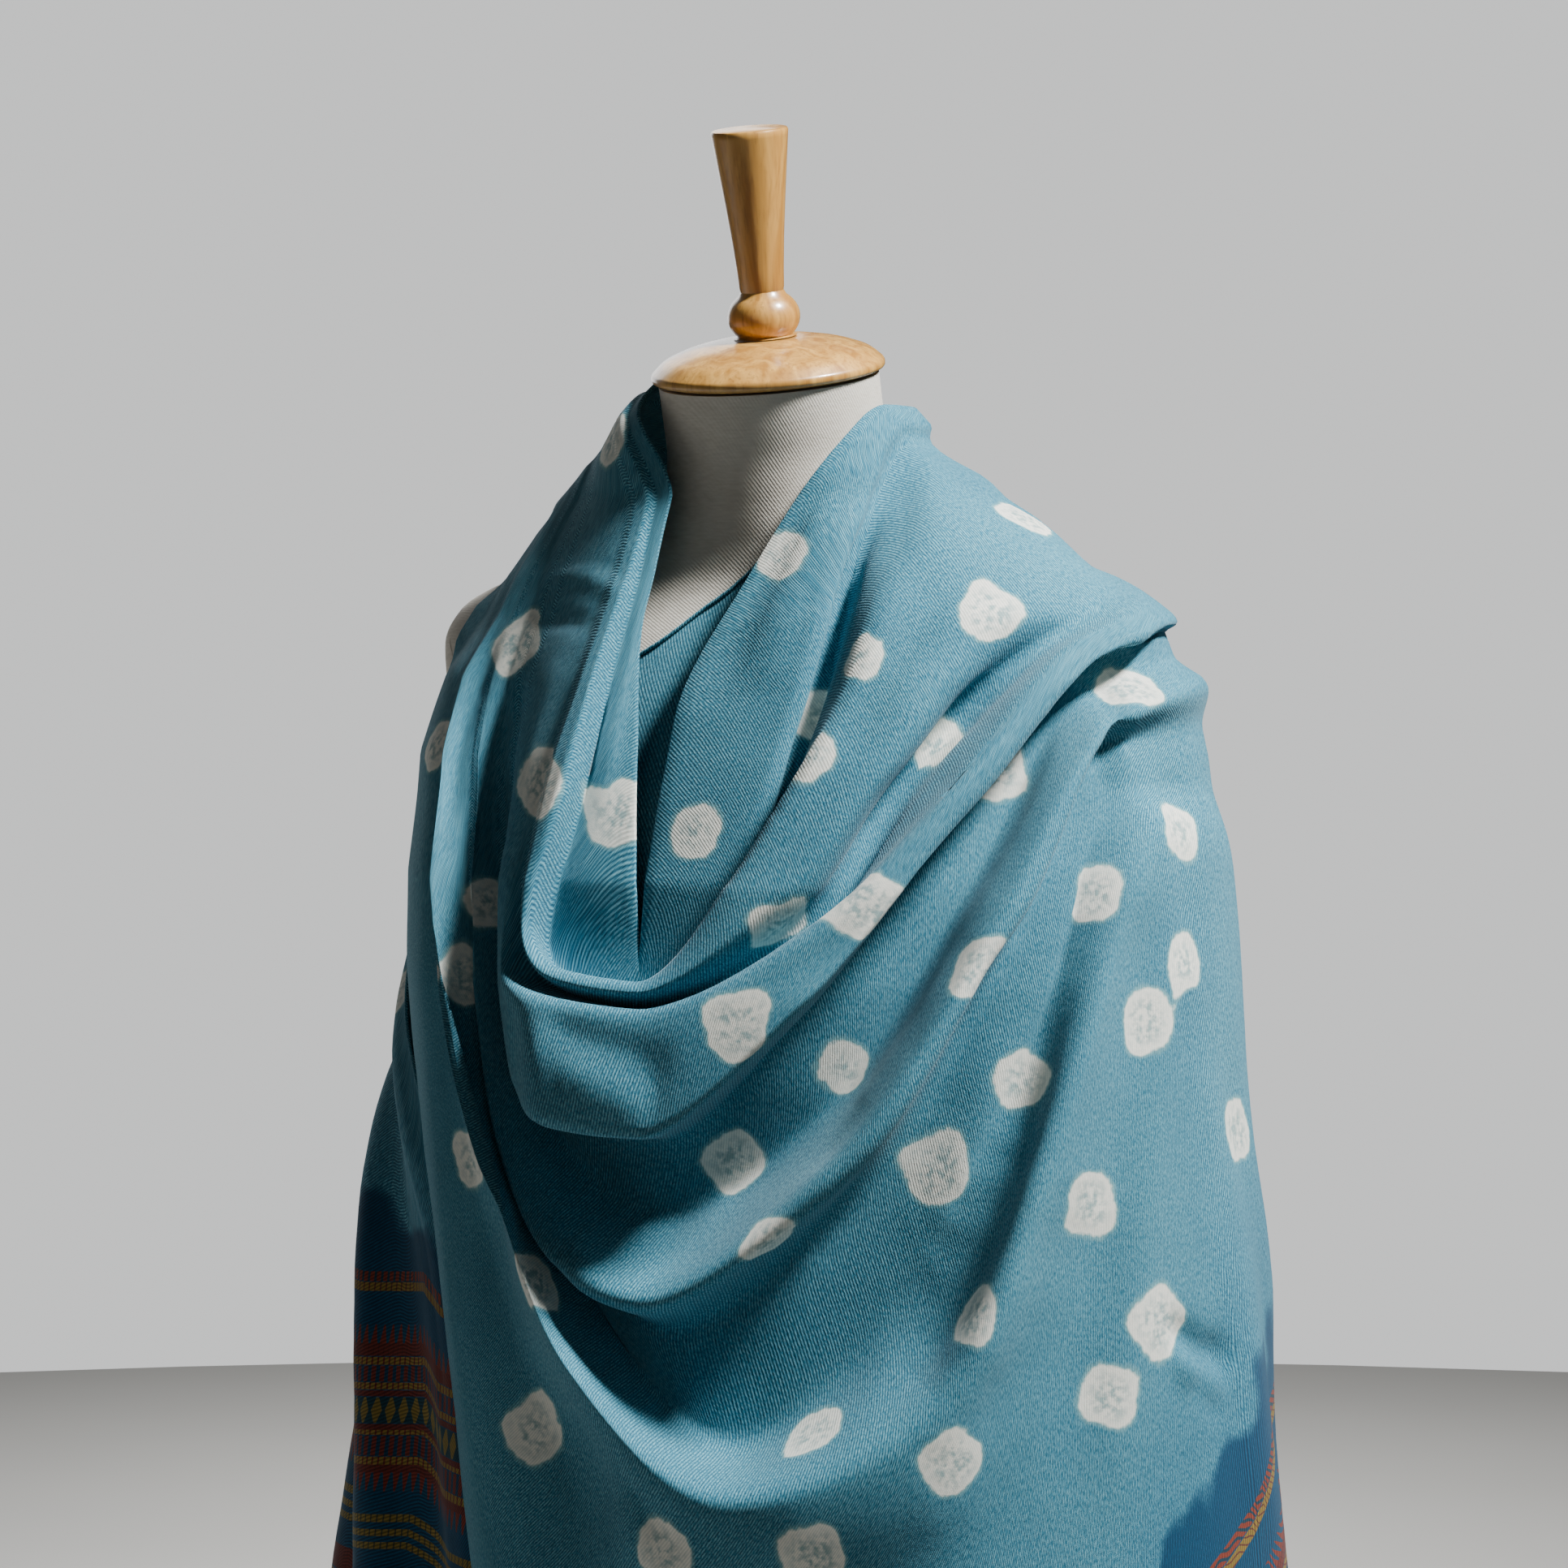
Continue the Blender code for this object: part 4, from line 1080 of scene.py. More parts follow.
# %% Hidden creases and waves
# Name, height in mm, width in mm, then (level, fold line) along its line
HIDDEN_CREASES = [
    ("arm_cleft", -6.0, 7, [(12.7, 2.0), (13.5, 2.0), (14.5, 2.0), (15.4, 2.0)]),
    ("arm_lip", 3.5, 7, [(12.7, 3.1), (13.5, 3.1), (14.5, 3.1), (15.4, 3.2)]),
    ("arm_groove", -7.0, 8, [(12.3, 5.0), (13.3, 5.0), (14.3, 5.0), (15.3, 5.0)]),
    ("arm_roll", 4.5, 10, [(12.3, 6.3), (13.3, 6.3), (14.3, 6.3), (15.3, 6.3)]),
    ("arm_tuck", -6.0, 8, [(12.3, 9.0), (13.3, 9.0), (14.3, 9.0), (14.9, 9.0)]),
    ("arm_third", 4.0, 12, [(12.4, 11.0), (13.3, 11.0), (14.3, 11.0), (15.2, 11.0)]),
    ("left_end_one", 5.0, 20, [(17.2, 1.0), (18.0, 1.2), (19.0, 1.0)]),
    ("left_end_two", -5.0, 18, [(16.9, 2.4), (17.8, 2.6), (19.0, 2.6)]),
    ("left_end_three", 6.0, 18, [(16.8, 4.0), (17.8, 4.1), (18.9, 4.3)]),
    ("left_end_four", -4.5, 20, [(17.0, 5.8), (18.0, 5.6), (19.0, 5.8)]),
    ("left_end_five", 5.0, 16, [(16.6, 7.2), (17.6, 7.3), (19.0, 7.1)]),
    ("left_end_six", -4.0, 18, [(16.9, 8.6), (18.0, 8.8), (18.8, 8.7)]),
    ("left_end_seven", 6.5, 22, [(16.5, 10.3), (17.4, 10.2), (19.0, 10.5)]),
    ("left_end_eight", -5.5, 18, [(16.6, 11.8), (17.8, 12.0), (19.0, 11.9)]),
    ("left_end_nine", 4.5, 18, [(16.4, 13.2), (17.3, 13.3), (18.6, 13.4)]),
    ("left_end_ten", -5.0, 20, [(16.2, 14.4), (17.2, 14.5), (19.0, 14.8)]),
    ("left_side_one", 4.5, 20, [(15.6, 15.2), (16.6, 15.4), (18.2, 15.6)]),
    ("left_side_two", -3.5, 18, [(15.2, 14.6), (15.8, 15.4), (16.4, 16.4)]),
    ("left_side_three", 3.5, 22, [(15.0, 15.4), (15.4, 16.2), (15.8, 16.9)]),
    ("right_end_one", -5.0, 16, [(0.0, 1.6), (1.4, 1.7), (3.2, 1.6)]),
    ("right_end_two", 4.0, 16, [(0.0, 4.2), (1.6, 4.3), (3.6, 4.0)]),
    ("right_end_three", -4.5, 18, [(0.3, 6.4), (1.8, 6.3), (3.8, 6.2)]),
    ("right_end_four", 5.0, 15, [(0.0, 8.8), (1.5, 8.6), (3.4, 8.5)]),
    ("right_end_five", -4.0, 16, [(0.0, 11.1), (1.2, 11.3), (3.0, 11.4)]),
    ("right_end_six", 4.0, 15, [(0.2, 13.4), (1.4, 13.2), (3.2, 13.0)]),
    ("right_end_seven", -3.5, 15, [(0.0, 15.6), (1.2, 15.4), (2.6, 15.2)]),
    ("right_back_one", 3.0, 12, [(3.4, 3.0), (4.2, 3.2), (4.8, 3.6)]),
    ("right_back_two", -3.0, 12, [(3.2, 7.6), (4.2, 7.4), (4.8, 7.2)]),
    ("right_back_three", 3.0, 12, [(3.0, 10.4), (4.0, 10.2), (4.9, 10.2)]),
    ("right_back_four", -2.6, 12, [(3.2, 13.6), (4.2, 13.4), (4.9, 13.2)]),
    ("left_back_one", 3.0, 12, [(16.2, 3.4), (16.8, 3.2), (17.3, 3.1)]),
    ("left_back_two", -3.0, 12, [(16.1, 6.6), (16.7, 6.4), (17.2, 6.4)]),
    ("left_back_three", 3.0, 12, [(16.0, 9.2), (16.6, 9.4), (17.2, 9.4)]),
]
WAVES = [(7.5, 0.10), (3.2, 0.045)]


def cells_between(corners):
    """Places on the grid at a line of (level, fold line) corners."""
    rows = np.interp([level for level, _ in corners], along, range(len(along)))
    columns = np.interp([line for _, line in corners], across, range(len(across)))
    return list(zip(rows.tolist(), columns.tolist()))


for name, height, width, corners in HIDDEN_CREASES:
    cells = even_cells(cloth, cells_between(corners))
    relief_field += crease_field(cloth, cloth_arcs, cells, height * MM / CM, width * MM / CM)
for length, height in WAVES:
    for row in range(cloth.shape[0]):
        for column in range(cloth.shape[1]):
            place = Vector(cloth[row, column] / length)
            relief_field[row, column] += height * noise.noise(place)

creased = cloth + surface_normals(cloth) * relief_field[..., None]
radius = np.hypot(creased[..., 0], creased[..., 1])
azimuth = np.degrees(np.arctan2(creased[..., 0], -creased[..., 1]))
free_radius = resting_radius(azimuth, creased[..., 2], INNER_FOLD_CLEARANCE)
lift = smooth_maximum(radius, free_radius, 0.1) / np.maximum(radius, 0.1)
creased[..., 0] *= lift
creased[..., 1] *= lift
print("hidden creases:", len(HIDDEN_CREASES))

# %% [markdown]
# ## The inner fold
#
# A part of the same cloth lies flat on the chest, inside the cowl. Only its upper part shows, so it is a
# sheet of its own that rests on the form.

# %% Sheet of the inner fold
INNER_FOLD_AZIMUTHS = (24.0, -36.0)
INNER_FOLD_EDGES = [(137.6, 122.0), (135.8, 119.0), (134.4, 118.0), (133.2, 117.5), (131.6, 117.5), (130.2, 118.0)]
INNER_FOLD_LIFT = 0.22
INNER_FOLD_LIFT_START = 126.0
INNER_FOLD_ROWS = 70
INNER_FOLD_COLUMNS = 44


def inner_fold_points(along_share, across_share):
    """Grid of points for the fold on the chest, in centimetres."""
    start, end = INNER_FOLD_AZIMUTHS
    azimuths = (start + (end - start) * along_share)[:, None] + 0.0 * across_share
    edges = hermite(np.array(INNER_FOLD_EDGES), along_share * (len(INNER_FOLD_EDGES) - 1.0))
    heights = edges[:, :1] * (1 - across_share) + edges[:, 1:] * across_share
    lift = INNER_FOLD_LIFT * np.clip((INNER_FOLD_LIFT_START - heights) / 2.0, 0.0, 1.0)
    radii = resting_radius(azimuths, heights, INNER_FOLD_CLEARANCE) + lift
    angle = np.radians(azimuths)
    return np.stack([radii * np.sin(angle), -radii * np.cos(angle), heights], axis=-1)


chest_fold = inner_fold_points(np.linspace(0, 1, INNER_FOLD_ROWS), np.linspace(0, 1, INNER_FOLD_COLUMNS))
print("inner fold:", chest_fold.shape[:2])

# %% [markdown]
# ## Dyed ends
#
# Both ends of the shawl were dipped in a deeper blue, and woven bands of red and ochre cross them. The dye
# stops at an uneven edge with lobes. Each vertex keeps its distance below that edge, and its place along the
# band, both in centimetres. The material makes the lobes and the bands from these two.

# %% Distance below the dye's edge
RIGHT_DYE_EDGE = [(-180, 103.0), (-120, 103.0), (-62, 102.2), (-50, 102.7), (-43, 101.7), (0, 100.5)]
LEFT_DYE_EDGE = [(20, 30.0), (40, 45.0), (55, 64.0), (66, 80.0), (71, 88.1), (75, 90.8), (80, 92.3), (84, 93.6),
                 (91, 97.0), (110, 100.0), (140, 102.0), (180, 103.0)]
LEFT_DROP_SHARE = 0.68
RIGHT_END_LEVEL = 4.2
LEFT_END_LEVEL = 12.0
NO_DROP = -30.0


def dye_drop(points, levels):
    """Centimetres below the edge of the dye for each vertex, negative where the cloth is not dipped."""
    turn = np.degrees(np.arctan2(points[..., 0], -points[..., 1]))
    left_turn = np.where(turn < 0, turn + 360, turn)
    right = np.interp(turn, *np.array(RIGHT_DYE_EDGE).T) - points[..., 2]
    left = (np.interp(left_turn, *np.array(LEFT_DYE_EDGE).T) - points[..., 2]) * LEFT_DROP_SHARE
    drop = np.full(points.shape[:2], NO_DROP)
    drop = np.where((levels < RIGHT_END_LEVEL)[:, None], right, drop)
    return np.where((levels > LEFT_END_LEVEL)[:, None], left, drop)


drop_fields = [dye_drop(creased, along), np.full(chest_fold.shape[:2], NO_DROP)]
print("dipped share:", round(float((drop_fields[0] > 0).mean()), 2))

# %% [markdown]
# ## Tied spots
#
# Each white spot was tied with thread before the cloth was dyed, so dye could not reach it. It comes out as a
# square with round corners, paler in some places than in others. The spots that show are at their pixels.
# Behind, they follow the same plan: rows 11 cm apart, each second row set half a step over, and none on the
# dipped ends, where the picture shows none either. Each vertex keeps its distance to the nearest spot's edge,
# and the material draws the spot from that.

# %% Spots
# Middle of each spot that shows: pixel across, pixel down, half its width in cm
SEEN_SPOTS = [
    (753, 552, 1.35), (635, 802, 1.6), (665, 968, 1.6), (755, 1010, 1.5), (875, 1018, 1.35), (975, 675, 1.3),
    (888, 728, 1.2), (826, 690, 1.3), (1063, 800, 1.2), (1231, 757, 1.6), (1268, 640, 1.5), (1394, 848, 1.5),
    (1170, 919, 1.45), (1238, 949, 1.5), (1010, 880, 1.3), (1003, 935, 1.3), (536, 925, 1.3), (495, 1205, 1.2),
    (597, 1120, 1.3), (571, 1205, 1.45), (964, 1138, 1.5), (1075, 1110, 1.6), (910, 1272, 1.6), (1210, 1190, 1.55),
    (1045, 1308, 1.25), (1262, 1337, 1.35), (1160, 1432, 1.6), (910, 1442, 1.5), (583, 1442, 1.45),
    (1417, 1258, 1.5), (1463, 1192, 1.4), (1458, 1030, 1.4), (1356, 1100, 1.4), (1346, 1480, 1.5),
    (1526, 1405, 1.5), (950, 1530, 1.4), (661, 1592, 1.5), (1207, 1616, 1.4), (1433, 1632, 1.6), (1374, 1720, 1.45),
    (1011, 1768, 1.5), (1182, 1800, 1.5), (663, 1783, 1.55), (1010, 1918, 1.5), (815, 1920, 1.4),
]
SPOT_PITCH = 11.0
SPOT_HALF = 1.5
SPOT_CORNER = 1.0
SPOT_REACH = 6.0
NEAR_A_SPOT = 6.4
LAST_SPOT_DROP = -1.5
SEEN_THROUGH = 3.5
EDGE_PIXELS = 60.0

lottery = np.random.default_rng(7)
sheets = [creased, chest_fold]
sheet_arcs = [(arc_lengths(points, 0), arc_lengths(points, 1)) for points in sheets]
sheet_trees = [grid_tree(points) for points in sheets]
sheet_widths = [points.shape[1] for points in sheets]
spot_fields = [np.full(points.shape[:2], SPOT_REACH) for points in sheets]


def dye_spot(sheet, row, column, half, turn):
    """Marks each vertex near a spot with its distance to the spot's edge, in centimetres."""
    window, over, down = offsets_near(sheets[sheet], *sheet_arcs[sheet], row, column, SPOT_REACH)
    one = np.abs(over * math.cos(turn) + down * math.sin(turn)) - (half - SPOT_CORNER)
    other = np.abs(down * math.cos(turn) - over * math.sin(turn)) - (half - SPOT_CORNER)
    outside = np.hypot(np.maximum(one, 0.0), np.maximum(other, 0.0))
    distance = outside + np.minimum(np.maximum(one, other), 0.0) - SPOT_CORNER
    spot_fields[sheet][window] = np.minimum(spot_fields[sheet][window], distance)


seen_places = []
for across_pixel, down_pixel, half in SEEN_SPOTS:
    found = seen_cell(sheet_trees, sheet_widths, across_pixel, down_pixel)
    if found:
        sheet, row, column = found
        seen_places.append(sheets[sheet][row, column])
        dye_spot(sheet, row, column, half, lottery.uniform(-0.7, 0.7))
placed = list(seen_places)

middle_column = np.argmin(np.abs(across - 12))
down_arcs, over_arcs = sheet_arcs[0]
hidden_count = 0
row_places = down_arcs[:, middle_column]
for number, distance in enumerate(np.arange(4.0, row_places[-1], SPOT_PITCH / 2)):
    row = int(np.argmin(np.abs(row_places - distance)))
    shift = SPOT_PITCH / 2 if number % 2 else 0.0
    for over in np.arange(3.0 + shift, over_arcs[row, -1] - 2.0, SPOT_PITCH):
        wobble = lottery.uniform(-0.8, 0.8, 2)
        turn = lottery.uniform(-0.7, 0.7)
        half = SPOT_HALF * lottery.uniform(0.88, 1.08)
        column = int(np.argmin(np.abs(over_arcs[row] - over - wobble[0])))
        place = creased[row, column]
        towards = Vector(place * CM) - EYE
        hit, _, _, distance_hit = sheet_trees[0].ray_cast(EYE, towards.normalized())
        seen = hit is not None and distance_hit > towards.length - SEEN_THROUGH * CM
        below_middle = abs(towards.dot(UPWARD) / towards.dot(AHEAD)) * CAMERA_DISTANCE / CM * PIXELS_PER_CM
        in_picture = below_middle < PICTURE / 2 + EDGE_PIXELS
        if seen and in_picture:
            continue
        if drop_fields[0][row, column] > LAST_SPOT_DROP:
            continue
        if np.min(np.linalg.norm(np.array(placed) - place, axis=1)) < NEAR_A_SPOT:
            continue
        placed.append(place)
        dye_spot(0, row, column, half, turn)
        hidden_count += 1
print("spots:", len(seen_places), "seen and", hidden_count, "on the hidden sides")

# %% [markdown]
# ## Dyed wool
#
# The cloth is a light wool twill of mixed yarns. Pale and dark threads cross each other, which makes the
# heathered blue of the picture. The true rib is about 0.7 mm wide. It is drawn 1.7 mm wide, because a finer
# one would not show. Wool fibres stand up from the cloth, so it has a soft sheen at its edges and no gloss.
# The ribs read the piece's own UV map, which is in metres along the threads. It is counted from the lowest
# point of the cowl, so that the ribs stand upright there and turn with the cloth on its way to the shoulders.

# %% Wool material
TWILL_RIB = 1.7 * MM
RIB_SLANT = 0.3
YARN = 0.9 * MM
BAND_COVER = 0.93

# Woven bands of a dipped end, in cm below the dye's edge: name, upper side, lower side, figure colour,
# ground colour, step along the band, share of the figure at the upper and the lower side
BANDS = [
    ("first_red", 2.8, 3.3, "#8f3a20", "#1c3e4c", 0.42, 0.6, 0.6),
    ("first_ochre", 3.35, 3.8, "#93752a", "#6e3a26", 0.36, 0.75, 0.75),
    ("teeth_up", 5.5, 6.45, "#88361f", "#0f4a68", 0.54, 0.15, 0.75),
    ("upper_red", 6.45, 7.1, "#762e1d", "#63281c", 0.3, 0.8, 0.8),
    ("upper_ochre", 7.15, 7.55, "#987a2e", "#762e1d", 0.34, 0.7, 0.7),
    ("upper_dashes", 7.6, 8.4, "#803320", "#123f5c", 0.5, 0.55, 0.55),
    ("inner_ochre", 8.45, 8.8, "#987a2e", "#762e1d", 0.34, 0.7, 0.7),
    ("inner_red", 8.85, 9.15, "#762e1d", "#63281c", 0.3, 0.8, 0.8),
    ("loops_upper", 9.2, 9.85, "#8f7830", "#153f4a", 0.8, 0.18, 0.8),
    ("loops_lower", 9.85, 10.5, "#8f7830", "#153f4a", 0.8, 0.8, 0.18),
    ("outer_red", 10.55, 10.85, "#762e1d", "#63281c", 0.3, 0.8, 0.8),
    ("outer_ochre", 10.85, 11.1, "#987a2e", "#762e1d", 0.34, 0.7, 0.7),
    ("lower_dashes", 11.15, 12.15, "#803320", "#123f5c", 0.5, 0.55, 0.55),
    ("lower_ochre", 12.2, 12.6, "#987a2e", "#762e1d", 0.34, 0.7, 0.7),
    ("lower_red", 12.6, 13.0, "#762e1d", "#63281c", 0.3, 0.8, 0.8),
    ("teeth_down", 13.0, 13.95, "#88361f", "#0f4a68", 0.54, 0.75, 0.15),
    ("line_one", 15.1, 15.5, "#8f7830", "#4c4a30", 0.36, 0.75, 0.75),
    ("line_two", 15.85, 16.2, "#8f7830", "#4c4a30", 0.36, 0.75, 0.75),
    ("line_three", 16.5, 16.85, "#8f7830", "#4c4a30", 0.36, 0.75, 0.75),
    ("end_red", 18.2, 19.4, "#762e1d", "#63281c", 0.3, 0.8, 0.8),
    ("end_ochre", 19.5, 19.95, "#987a2e", "#762e1d", 0.34, 0.7, 0.7),
    ("hem_line", 33.0, 33.5, "#8f7830", "#4c4a30", 0.36, 0.75, 0.75),
]


NOISE = "ShaderNodeTexNoise"
SCALE = "ShaderNodeMapping"
MATH = "ShaderNodeMath"
RANGE = "ShaderNodeMapRange"
MIX = "ShaderNodeMix"
TIMES = {"operation": "MULTIPLY"}
PLUS = {"operation": "ADD"}
BLEND = {"data_type": "RGBA"}
SHADE = {"data_type": "RGBA", "blend_type": "MULTIPLY"}

# Noises of the wool: name, what it reads, its scale along each axis in 1/m, its detail
WOOL_NOISES = [
    ("float", "threads", (0.4 / YARN, 1.0 / YARN, 1.0), 1.0),
    ("cross", "threads", (1.0 / YARN, 0.4 / YARN, 1.0), 1.0),
    ("fleck", "place", (520.0, 520.0, 520.0), 3.0),
    ("lobe", "place", (26.0, 26.0, 20.0), 1.0),
    ("fringe", "place", (130.0, 130.0, 130.0), 2.0),
    ("ragged", "place", (230.0, 230.0, 230.0), 2.0),
    ("pulled", "place", (46.0, 46.0, 46.0), 1.0),
    ("mottle", "place", (290.0, 290.0, 290.0), 3.0),
    ("cloud", "place", (15.0, 15.0, 9.0), 3.0),
    ("fuzz", "place", (1500.0, 1500.0, 1500.0), 2.0),
]


def dyed_wool():
    """Fine wool twill, piece dyed over tied spots: heathered blue, matt, with a soft bloom of fibre."""
    material, surface = new_material("dyed_wool_twill")
    threads = add_node(material, "ShaderNodeUVMap", {"uv_map": "cloth"}, None, 0)
    place = add_node(material, "ShaderNodeTexCoord", None, None, "Object")
    split = add_node(material, "ShaderNodeSeparateXYZ", None, {"Vector": threads})
    sources = {"threads": threads, "place": place}
    noises = {}
    for label, source, scale, detail in WOOL_NOISES:
        stretched = add_node(material, SCALE, None, {"Vector": sources[source], "Scale": scale}, 0)
        noises[label] = add_node(material, NOISE, None, {"Vector": stretched, "Scale": 1.0, "Detail": detail}, 0)

    # The rib: pale floats over darker ones, in lines that cross the cloth with a slant
    slanted = add_node(material, MATH, {"operation": "MULTIPLY_ADD"}, {0: split.outputs[0], 1: RIB_SLANT, 2: split.outputs[1]}, 0)
    phase = add_node(material, MATH, TIMES, {0: slanted, 1: 2 * math.pi / TWILL_RIB}, 0)
    swing = add_node(material, MATH, {"operation": "SINE"}, {0: phase}, 0)
    rib = add_node(material, RANGE, None, {"Value": swing, "From Min": -1.0, "From Max": 1.0}, 0)
    pale = add_node(material, RANGE, None, {"Value": noises["float"], "From Min": 0.36, "From Max": 0.64}, 0)
    dark = add_node(material, RANGE, None, {"Value": noises["cross"], "From Min": 0.36, "From Max": 0.64}, 0)
    pale_yarn = add_node(material, MIX, BLEND, {0: pale, 6: linear("#32798f"), 7: linear("#7bbac8")}, 2)
    dark_yarn = add_node(material, MIX, BLEND, {0: dark, 6: linear("#0e4259"), 7: linear("#2b6d84")}, 2)
    heather = add_node(material, MIX, BLEND, {0: rib, 6: dark_yarn, 7: pale_yarn}, 2)
    uneven = add_node(
        material,
        RANGE,
        None,
        {"Value": noises["cloud"], "From Min": 0.35, "From Max": 0.7, "To Min": 0.0, "To Max": 0.4},
        0,
    )
    wool_blue = add_node(material, MIX, SHADE, {0: uneven, 6: heather, 7: linear("#a9c6d2")}, 2)

    # The dipped ends: a deeper blue below an edge with lobes
    drop = add_node(material, "ShaderNodeAttribute", {"attribute_name": "drop"}, None, "Fac")
    lobed = add_node(
        material,
        RANGE,
        None,
        {"Value": noises["lobe"], "From Min": 0.3, "From Max": 0.7, "To Min": -1.5, "To Max": 1.5},
        0,
    )
    fringed = add_node(
        material,
        RANGE,
        None,
        {"Value": noises["fringe"], "From Min": 0.3, "From Max": 0.7, "To Min": -0.12, "To Max": 0.12},
        0,
    )
    edge = add_node(material, MATH, PLUS, {0: drop, 1: lobed}, 0)
    edge = add_node(material, MATH, PLUS, {0: edge, 1: fringed}, 0)
    dipped = add_node(material, RANGE, None, {"Value": edge, "From Min": -0.5, "From Max": 0.5}, 0)
    washed = add_node(material, RANGE, None, {"Value": edge, "From Min": -9.0, "From Max": 0.0, "To Max": 0.3}, 0)
    stronger = add_node(material, MIX, SHADE, {0: washed, 6: wool_blue, 7: linear("#6fb4cf")}, 2)
    darker = add_node(material, MIX, SHADE, {0: dipped, 6: stronger, 7: linear("#5597b5")}, 2)
    strong = add_node(material, MATH, TIMES, {0: dipped, 1: 0.6}, 0)
    deep_blue = add_node(material, MIX, BLEND, {0: strong, 6: darker, 7: linear("#0e4a6c")}, 2)

    # The woven bands: each is a row of figures on a ground
    band = add_node(material, MATH, TIMES, {0: split.outputs[0], 1: 100.0}, 0)
    woven = deep_blue
    waves = {}
    for _, upper, lower, figure, ground, step, share_upper, share_lower in BANDS:
        if step not in waves:
            folded = add_node(material, MATH, {"operation": "PINGPONG"}, {0: band, 1: step / 2}, 0)
            waves[step] = add_node(material, MATH, TIMES, {0: folded, 1: 2 / step}, 0)
        share = add_node(
            material,
            RANGE,
            None,
            {"Value": drop, "From Min": upper, "From Max": lower, "To Min": share_upper, "To Max": share_lower},
            0,
        )
        figured = add_node(material, MATH, {"operation": "LESS_THAN"}, {0: waves[step], 1: share}, 0)
        middle = (upper + lower) / 2
        inside = add_node(material, MATH, {"operation": "COMPARE"}, {0: drop, 1: middle, 2: (lower - upper) / 2}, 0)
        colour = add_node(material, MIX, BLEND, {0: figured, 6: linear(ground), 7: linear(figure)}, 2)
        shown = add_node(material, MATH, TIMES, {0: inside, 1: BAND_COVER}, 0)
        woven = add_node(material, MIX, BLEND, {0: shown, 6: woven, 7: colour}, 2)
    yarn_light = add_node(material, MIX, BLEND, {0: rib, 6: linear("#a9b0b3"), 7: linear("#ffffff")}, 2)
    woven = add_node(material, MIX, SHADE, {0: dipped, 6: woven, 7: yarn_light}, 2)

    # The tied spots: cream, with flecks of dye, a darker middle and a thin halo
    spot = add_node(material, "ShaderNodeAttribute", {"attribute_name": "spot"}, None, "Fac")
    rough_edge = add_node(
        material,
        RANGE,
        None,
        {"Value": noises["ragged"], "From Min": 0.3, "From Max": 0.7, "To Min": -0.06, "To Max": 0.06},
        0,
    )
    pulled_edge = add_node(
        material,
        RANGE,
        None,
        {"Value": noises["pulled"], "From Min": 0.3, "From Max": 0.7, "To Min": -0.17, "To Max": 0.17},
        0,
    )
    outline = add_node(material, MATH, PLUS, {0: spot, 1: rough_edge}, 0)
    outline = add_node(material, MATH, PLUS, {0: outline, 1: pulled_edge}, 0)
    white = add_node(material, RANGE, None, {"Value": outline, "From Min": 0.05, "From Max": -0.08, "To Max": 0.95}, 0)
    halo = add_node(material, RANGE, None, {"Value": outline, "From Min": 0.24, "From Max": 0.02, "To Max": 0.34}, 0)
    flecked = add_node(
        material, RANGE, None, {"Value": noises["mottle"], "From Min": 0.4, "From Max": 0.62, "To Max": 0.8}, 0
    )
    centre = add_node(material, RANGE, None, {"Value": outline, "From Min": -0.05, "From Max": -0.9}, 0)
    stain = add_node(material, MATH, TIMES, {0: centre, 1: flecked}, 0)
    lines = add_node(material, RANGE, None, {"Value": rib, "To Min": 0.32, "To Max": 0.0}, 0)
    cream = add_node(material, MIX, BLEND, {0: stain, 6: linear("#f1eee2"), 7: linear("#6d9397")}, 2)
    cream = add_node(material, MIX, BLEND, {0: lines, 6: cream, 7: linear("#7d9593")}, 2)
    haloed = add_node(material, MIX, BLEND, {0: halo, 6: woven, 7: linear("#9cc7bd")}, 2)
    spotted = add_node(material, MIX, BLEND, {0: white, 6: haloed, 7: cream}, 2)

    # The relief of the yarns
    height = add_node(material, MATH, PLUS, {0: rib, 1: noises["float"]}, 0)
    height = add_node(material, MATH, PLUS, {0: height, 1: noises["fleck"]}, 0)
    height = add_node(material, MATH, PLUS, {0: height, 1: noises["fuzz"]}, 0)
    bump = add_node(material, "ShaderNodeBump", None, {"Height": height, "Strength": 0.4, "Distance": 0.2 * MM}, 0)
    material.node_tree.links.new(spotted, surface.inputs["Base Color"])
    material.node_tree.links.new(bump, surface.inputs["Normal"])
    surface.inputs["Roughness"].default_value = 0.86
    surface.inputs["Specular IOR Level"].default_value = 0.25
    surface.inputs["Sheen Weight"].default_value = 0.15
    surface.inputs["Sheen Roughness"].default_value = 0.45
    surface.inputs["Sheen Tint"].default_value = linear("#cfe4ea")
    return material


wool = dyed_wool()
print("material:", wool.name, "with", len(wool.node_tree.nodes), "nodes")

# %% [markdown]
# ## Making the sheets
#
# A grid of faces takes the points that were worked out. Both long edges and both ends are rolled hems, as on
# a fine shawl: the last few rows curl once round on a radius of about a millimetre, so that an edge looks
# thick and soft.

# %% Hems and meshes
HEM_RADIUS = 0.11
HEM_STEPS = 6
HEM_TURN = math.radians(48.0)


def hem_moves(outward, normal):
    """Moves from an edge to each row of its rolled hem."""
    moves = []
    for step in range(1, HEM_STEPS + 1):
        angle = math.pi / 2 - step * HEM_TURN
        moves.append(HEM_RADIUS * (math.cos(angle) * outward + (math.sin(angle) - 1.0) * normal))
    return moves


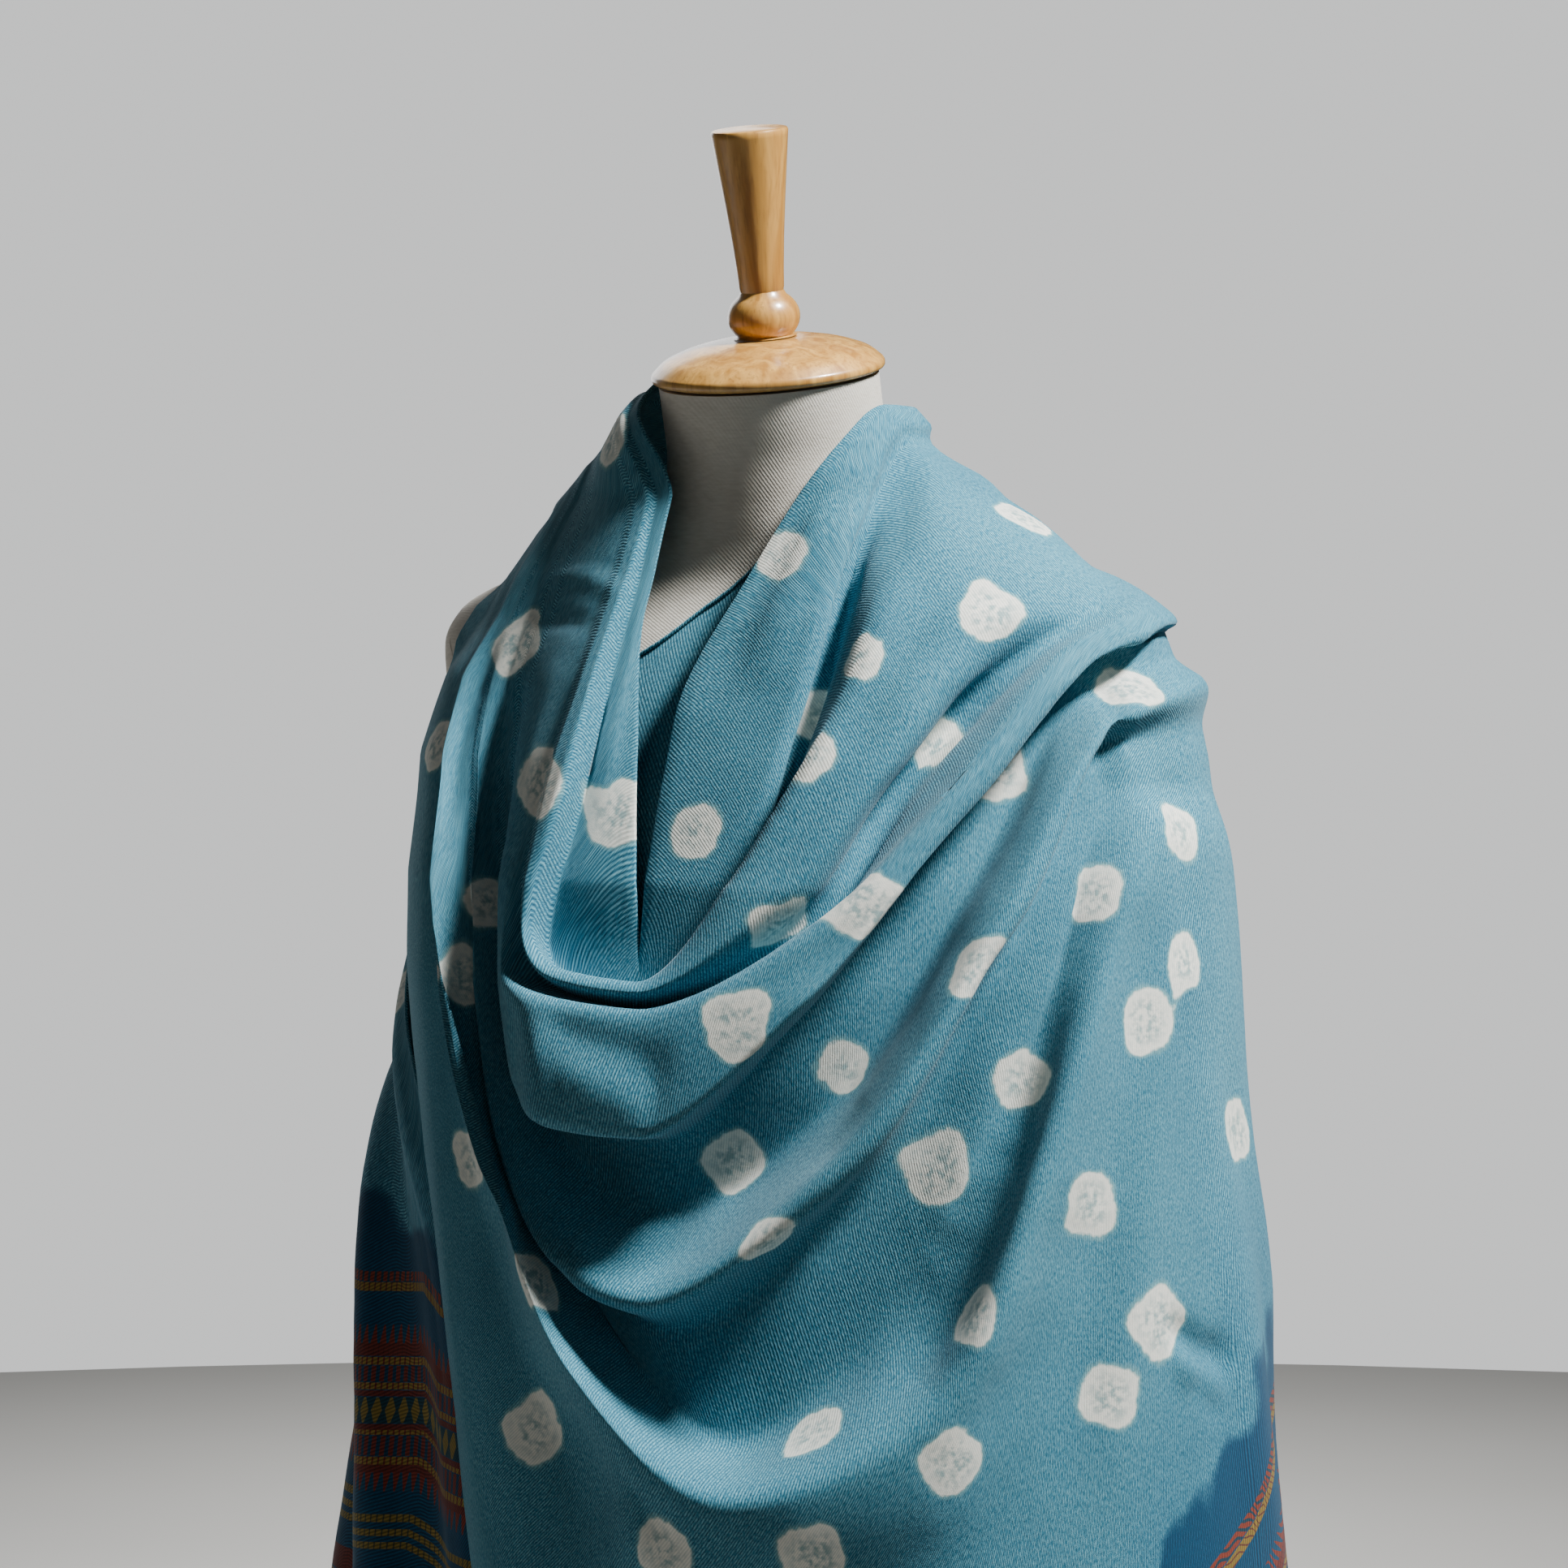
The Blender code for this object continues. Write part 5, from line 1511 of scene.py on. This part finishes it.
def with_hems(points):
    """Grid with a rolled hem on all four sides, and how many rows were added on each."""
    normals = surface_normals(points)
    over = np.gradient(points, axis=1)
    over /= np.maximum(np.linalg.norm(over, axis=-1, keepdims=True), 1e-9)
    down = np.gradient(points, axis=0)
    down /= np.maximum(np.linalg.norm(down, axis=-1, keepdims=True), 1e-9)
    first = [points[:, 0] + move for move in hem_moves(-over[:, 0], normals[:, 0])]
    last = [points[:, -1] + move for move in hem_moves(over[:, -1], normals[:, -1])]
    wide = np.stack(first[::-1] + [points[:, c] for c in range(points.shape[1])] + last, axis=1)
    before = []
    for move in hem_moves(-down[0], normals[0]):
        before.append(wide[0] + np.pad(move, ((HEM_STEPS, HEM_STEPS), (0, 0)), mode="edge"))
    after = []
    for move in hem_moves(down[-1], normals[-1]):
        after.append(wide[-1] + np.pad(move, ((HEM_STEPS, HEM_STEPS), (0, 0)), mode="edge"))
    return np.stack(before[::-1] + list(wide) + after, axis=0)


def add_sheet(name, points, spot, drop, replaced, origin):
    """Sheet of dyed wool through a grid of points in centimetres. Threads are counted from its origin."""
    hemmed = with_hems(points)
    fields = {"spot": spot, "drop": drop}
    rows, columns = hemmed.shape[:2]
    builder = bmesh.new()
    bmesh.ops.create_grid(builder, x_segments=columns - 1, y_segments=rows - 1, size=0.5)
    builder.verts.ensure_lookup_table()
    for vertex, place in zip(builder.verts, hemmed.reshape(-1, 3) * CM):
        vertex.co = place
    outward = surface_normals(points)
    middle_out = points[..., :2] - points[..., :2].mean(axis=(0, 1))
    if float((outward[..., :2] * middle_out).sum()) < 0:
        bmesh.ops.reverse_faces(builder, faces=builder.faces)
    piece = finish_piece(name, builder, wool, "shawl_cloth", replaced)
    mesh = piece.data
    for label, values in fields.items():
        padded = np.pad(values, HEM_STEPS, mode="edge")
        mesh.attributes.new(label, "FLOAT", "POINT").data.foreach_set("value", padded.ravel().astype(np.float32))
    arcs_down = arc_lengths(hemmed, 0)
    arcs_over = arc_lengths(hemmed, 1)
    arcs_down -= arcs_down[origin[0] + HEM_STEPS]
    arcs_over -= arcs_over[:, [origin[1] + HEM_STEPS]]
    threads = np.stack([arcs_over, arcs_down], axis=-1).reshape(-1, 2) * CM
    corner_vertices = np.zeros(len(mesh.loops), dtype=np.int32)
    mesh.loops.foreach_get("vertex_index", corner_vertices)
    chart = mesh.uv_layers.new(name="cloth")
    chart.data.foreach_set("uv", threads[corner_vertices].ravel().astype(np.float32))
    area = sum(face.area for face in mesh.polygons)
    print(name, len(mesh.polygons) * 2, "triangles,", round(area, 3), "square metres")
    return piece


SHAWL_NODES = [
    "shawl_right_end",
    "shawl_right_shoulder",
    "shawl_front_cowl",
    "shawl_left_cape",
    "shawl_left_end",
]
low_row = int(np.argmin(np.abs(along - (len(RIGHT_END) + LOW_STATION))))
pouch_column = int(np.argmin(np.abs(across - LAST_LINE / 2)))
shawl_origin = (low_row, pouch_column)
shawl = add_sheet("shawl_sheet", creased, spot_fields[0], drop_fields[0], SHAWL_NODES, shawl_origin)
inner = add_sheet("shawl_chest_fold", chest_fold, spot_fields[1], drop_fields[1], ["shawl_inner_fold"], (0, 0))
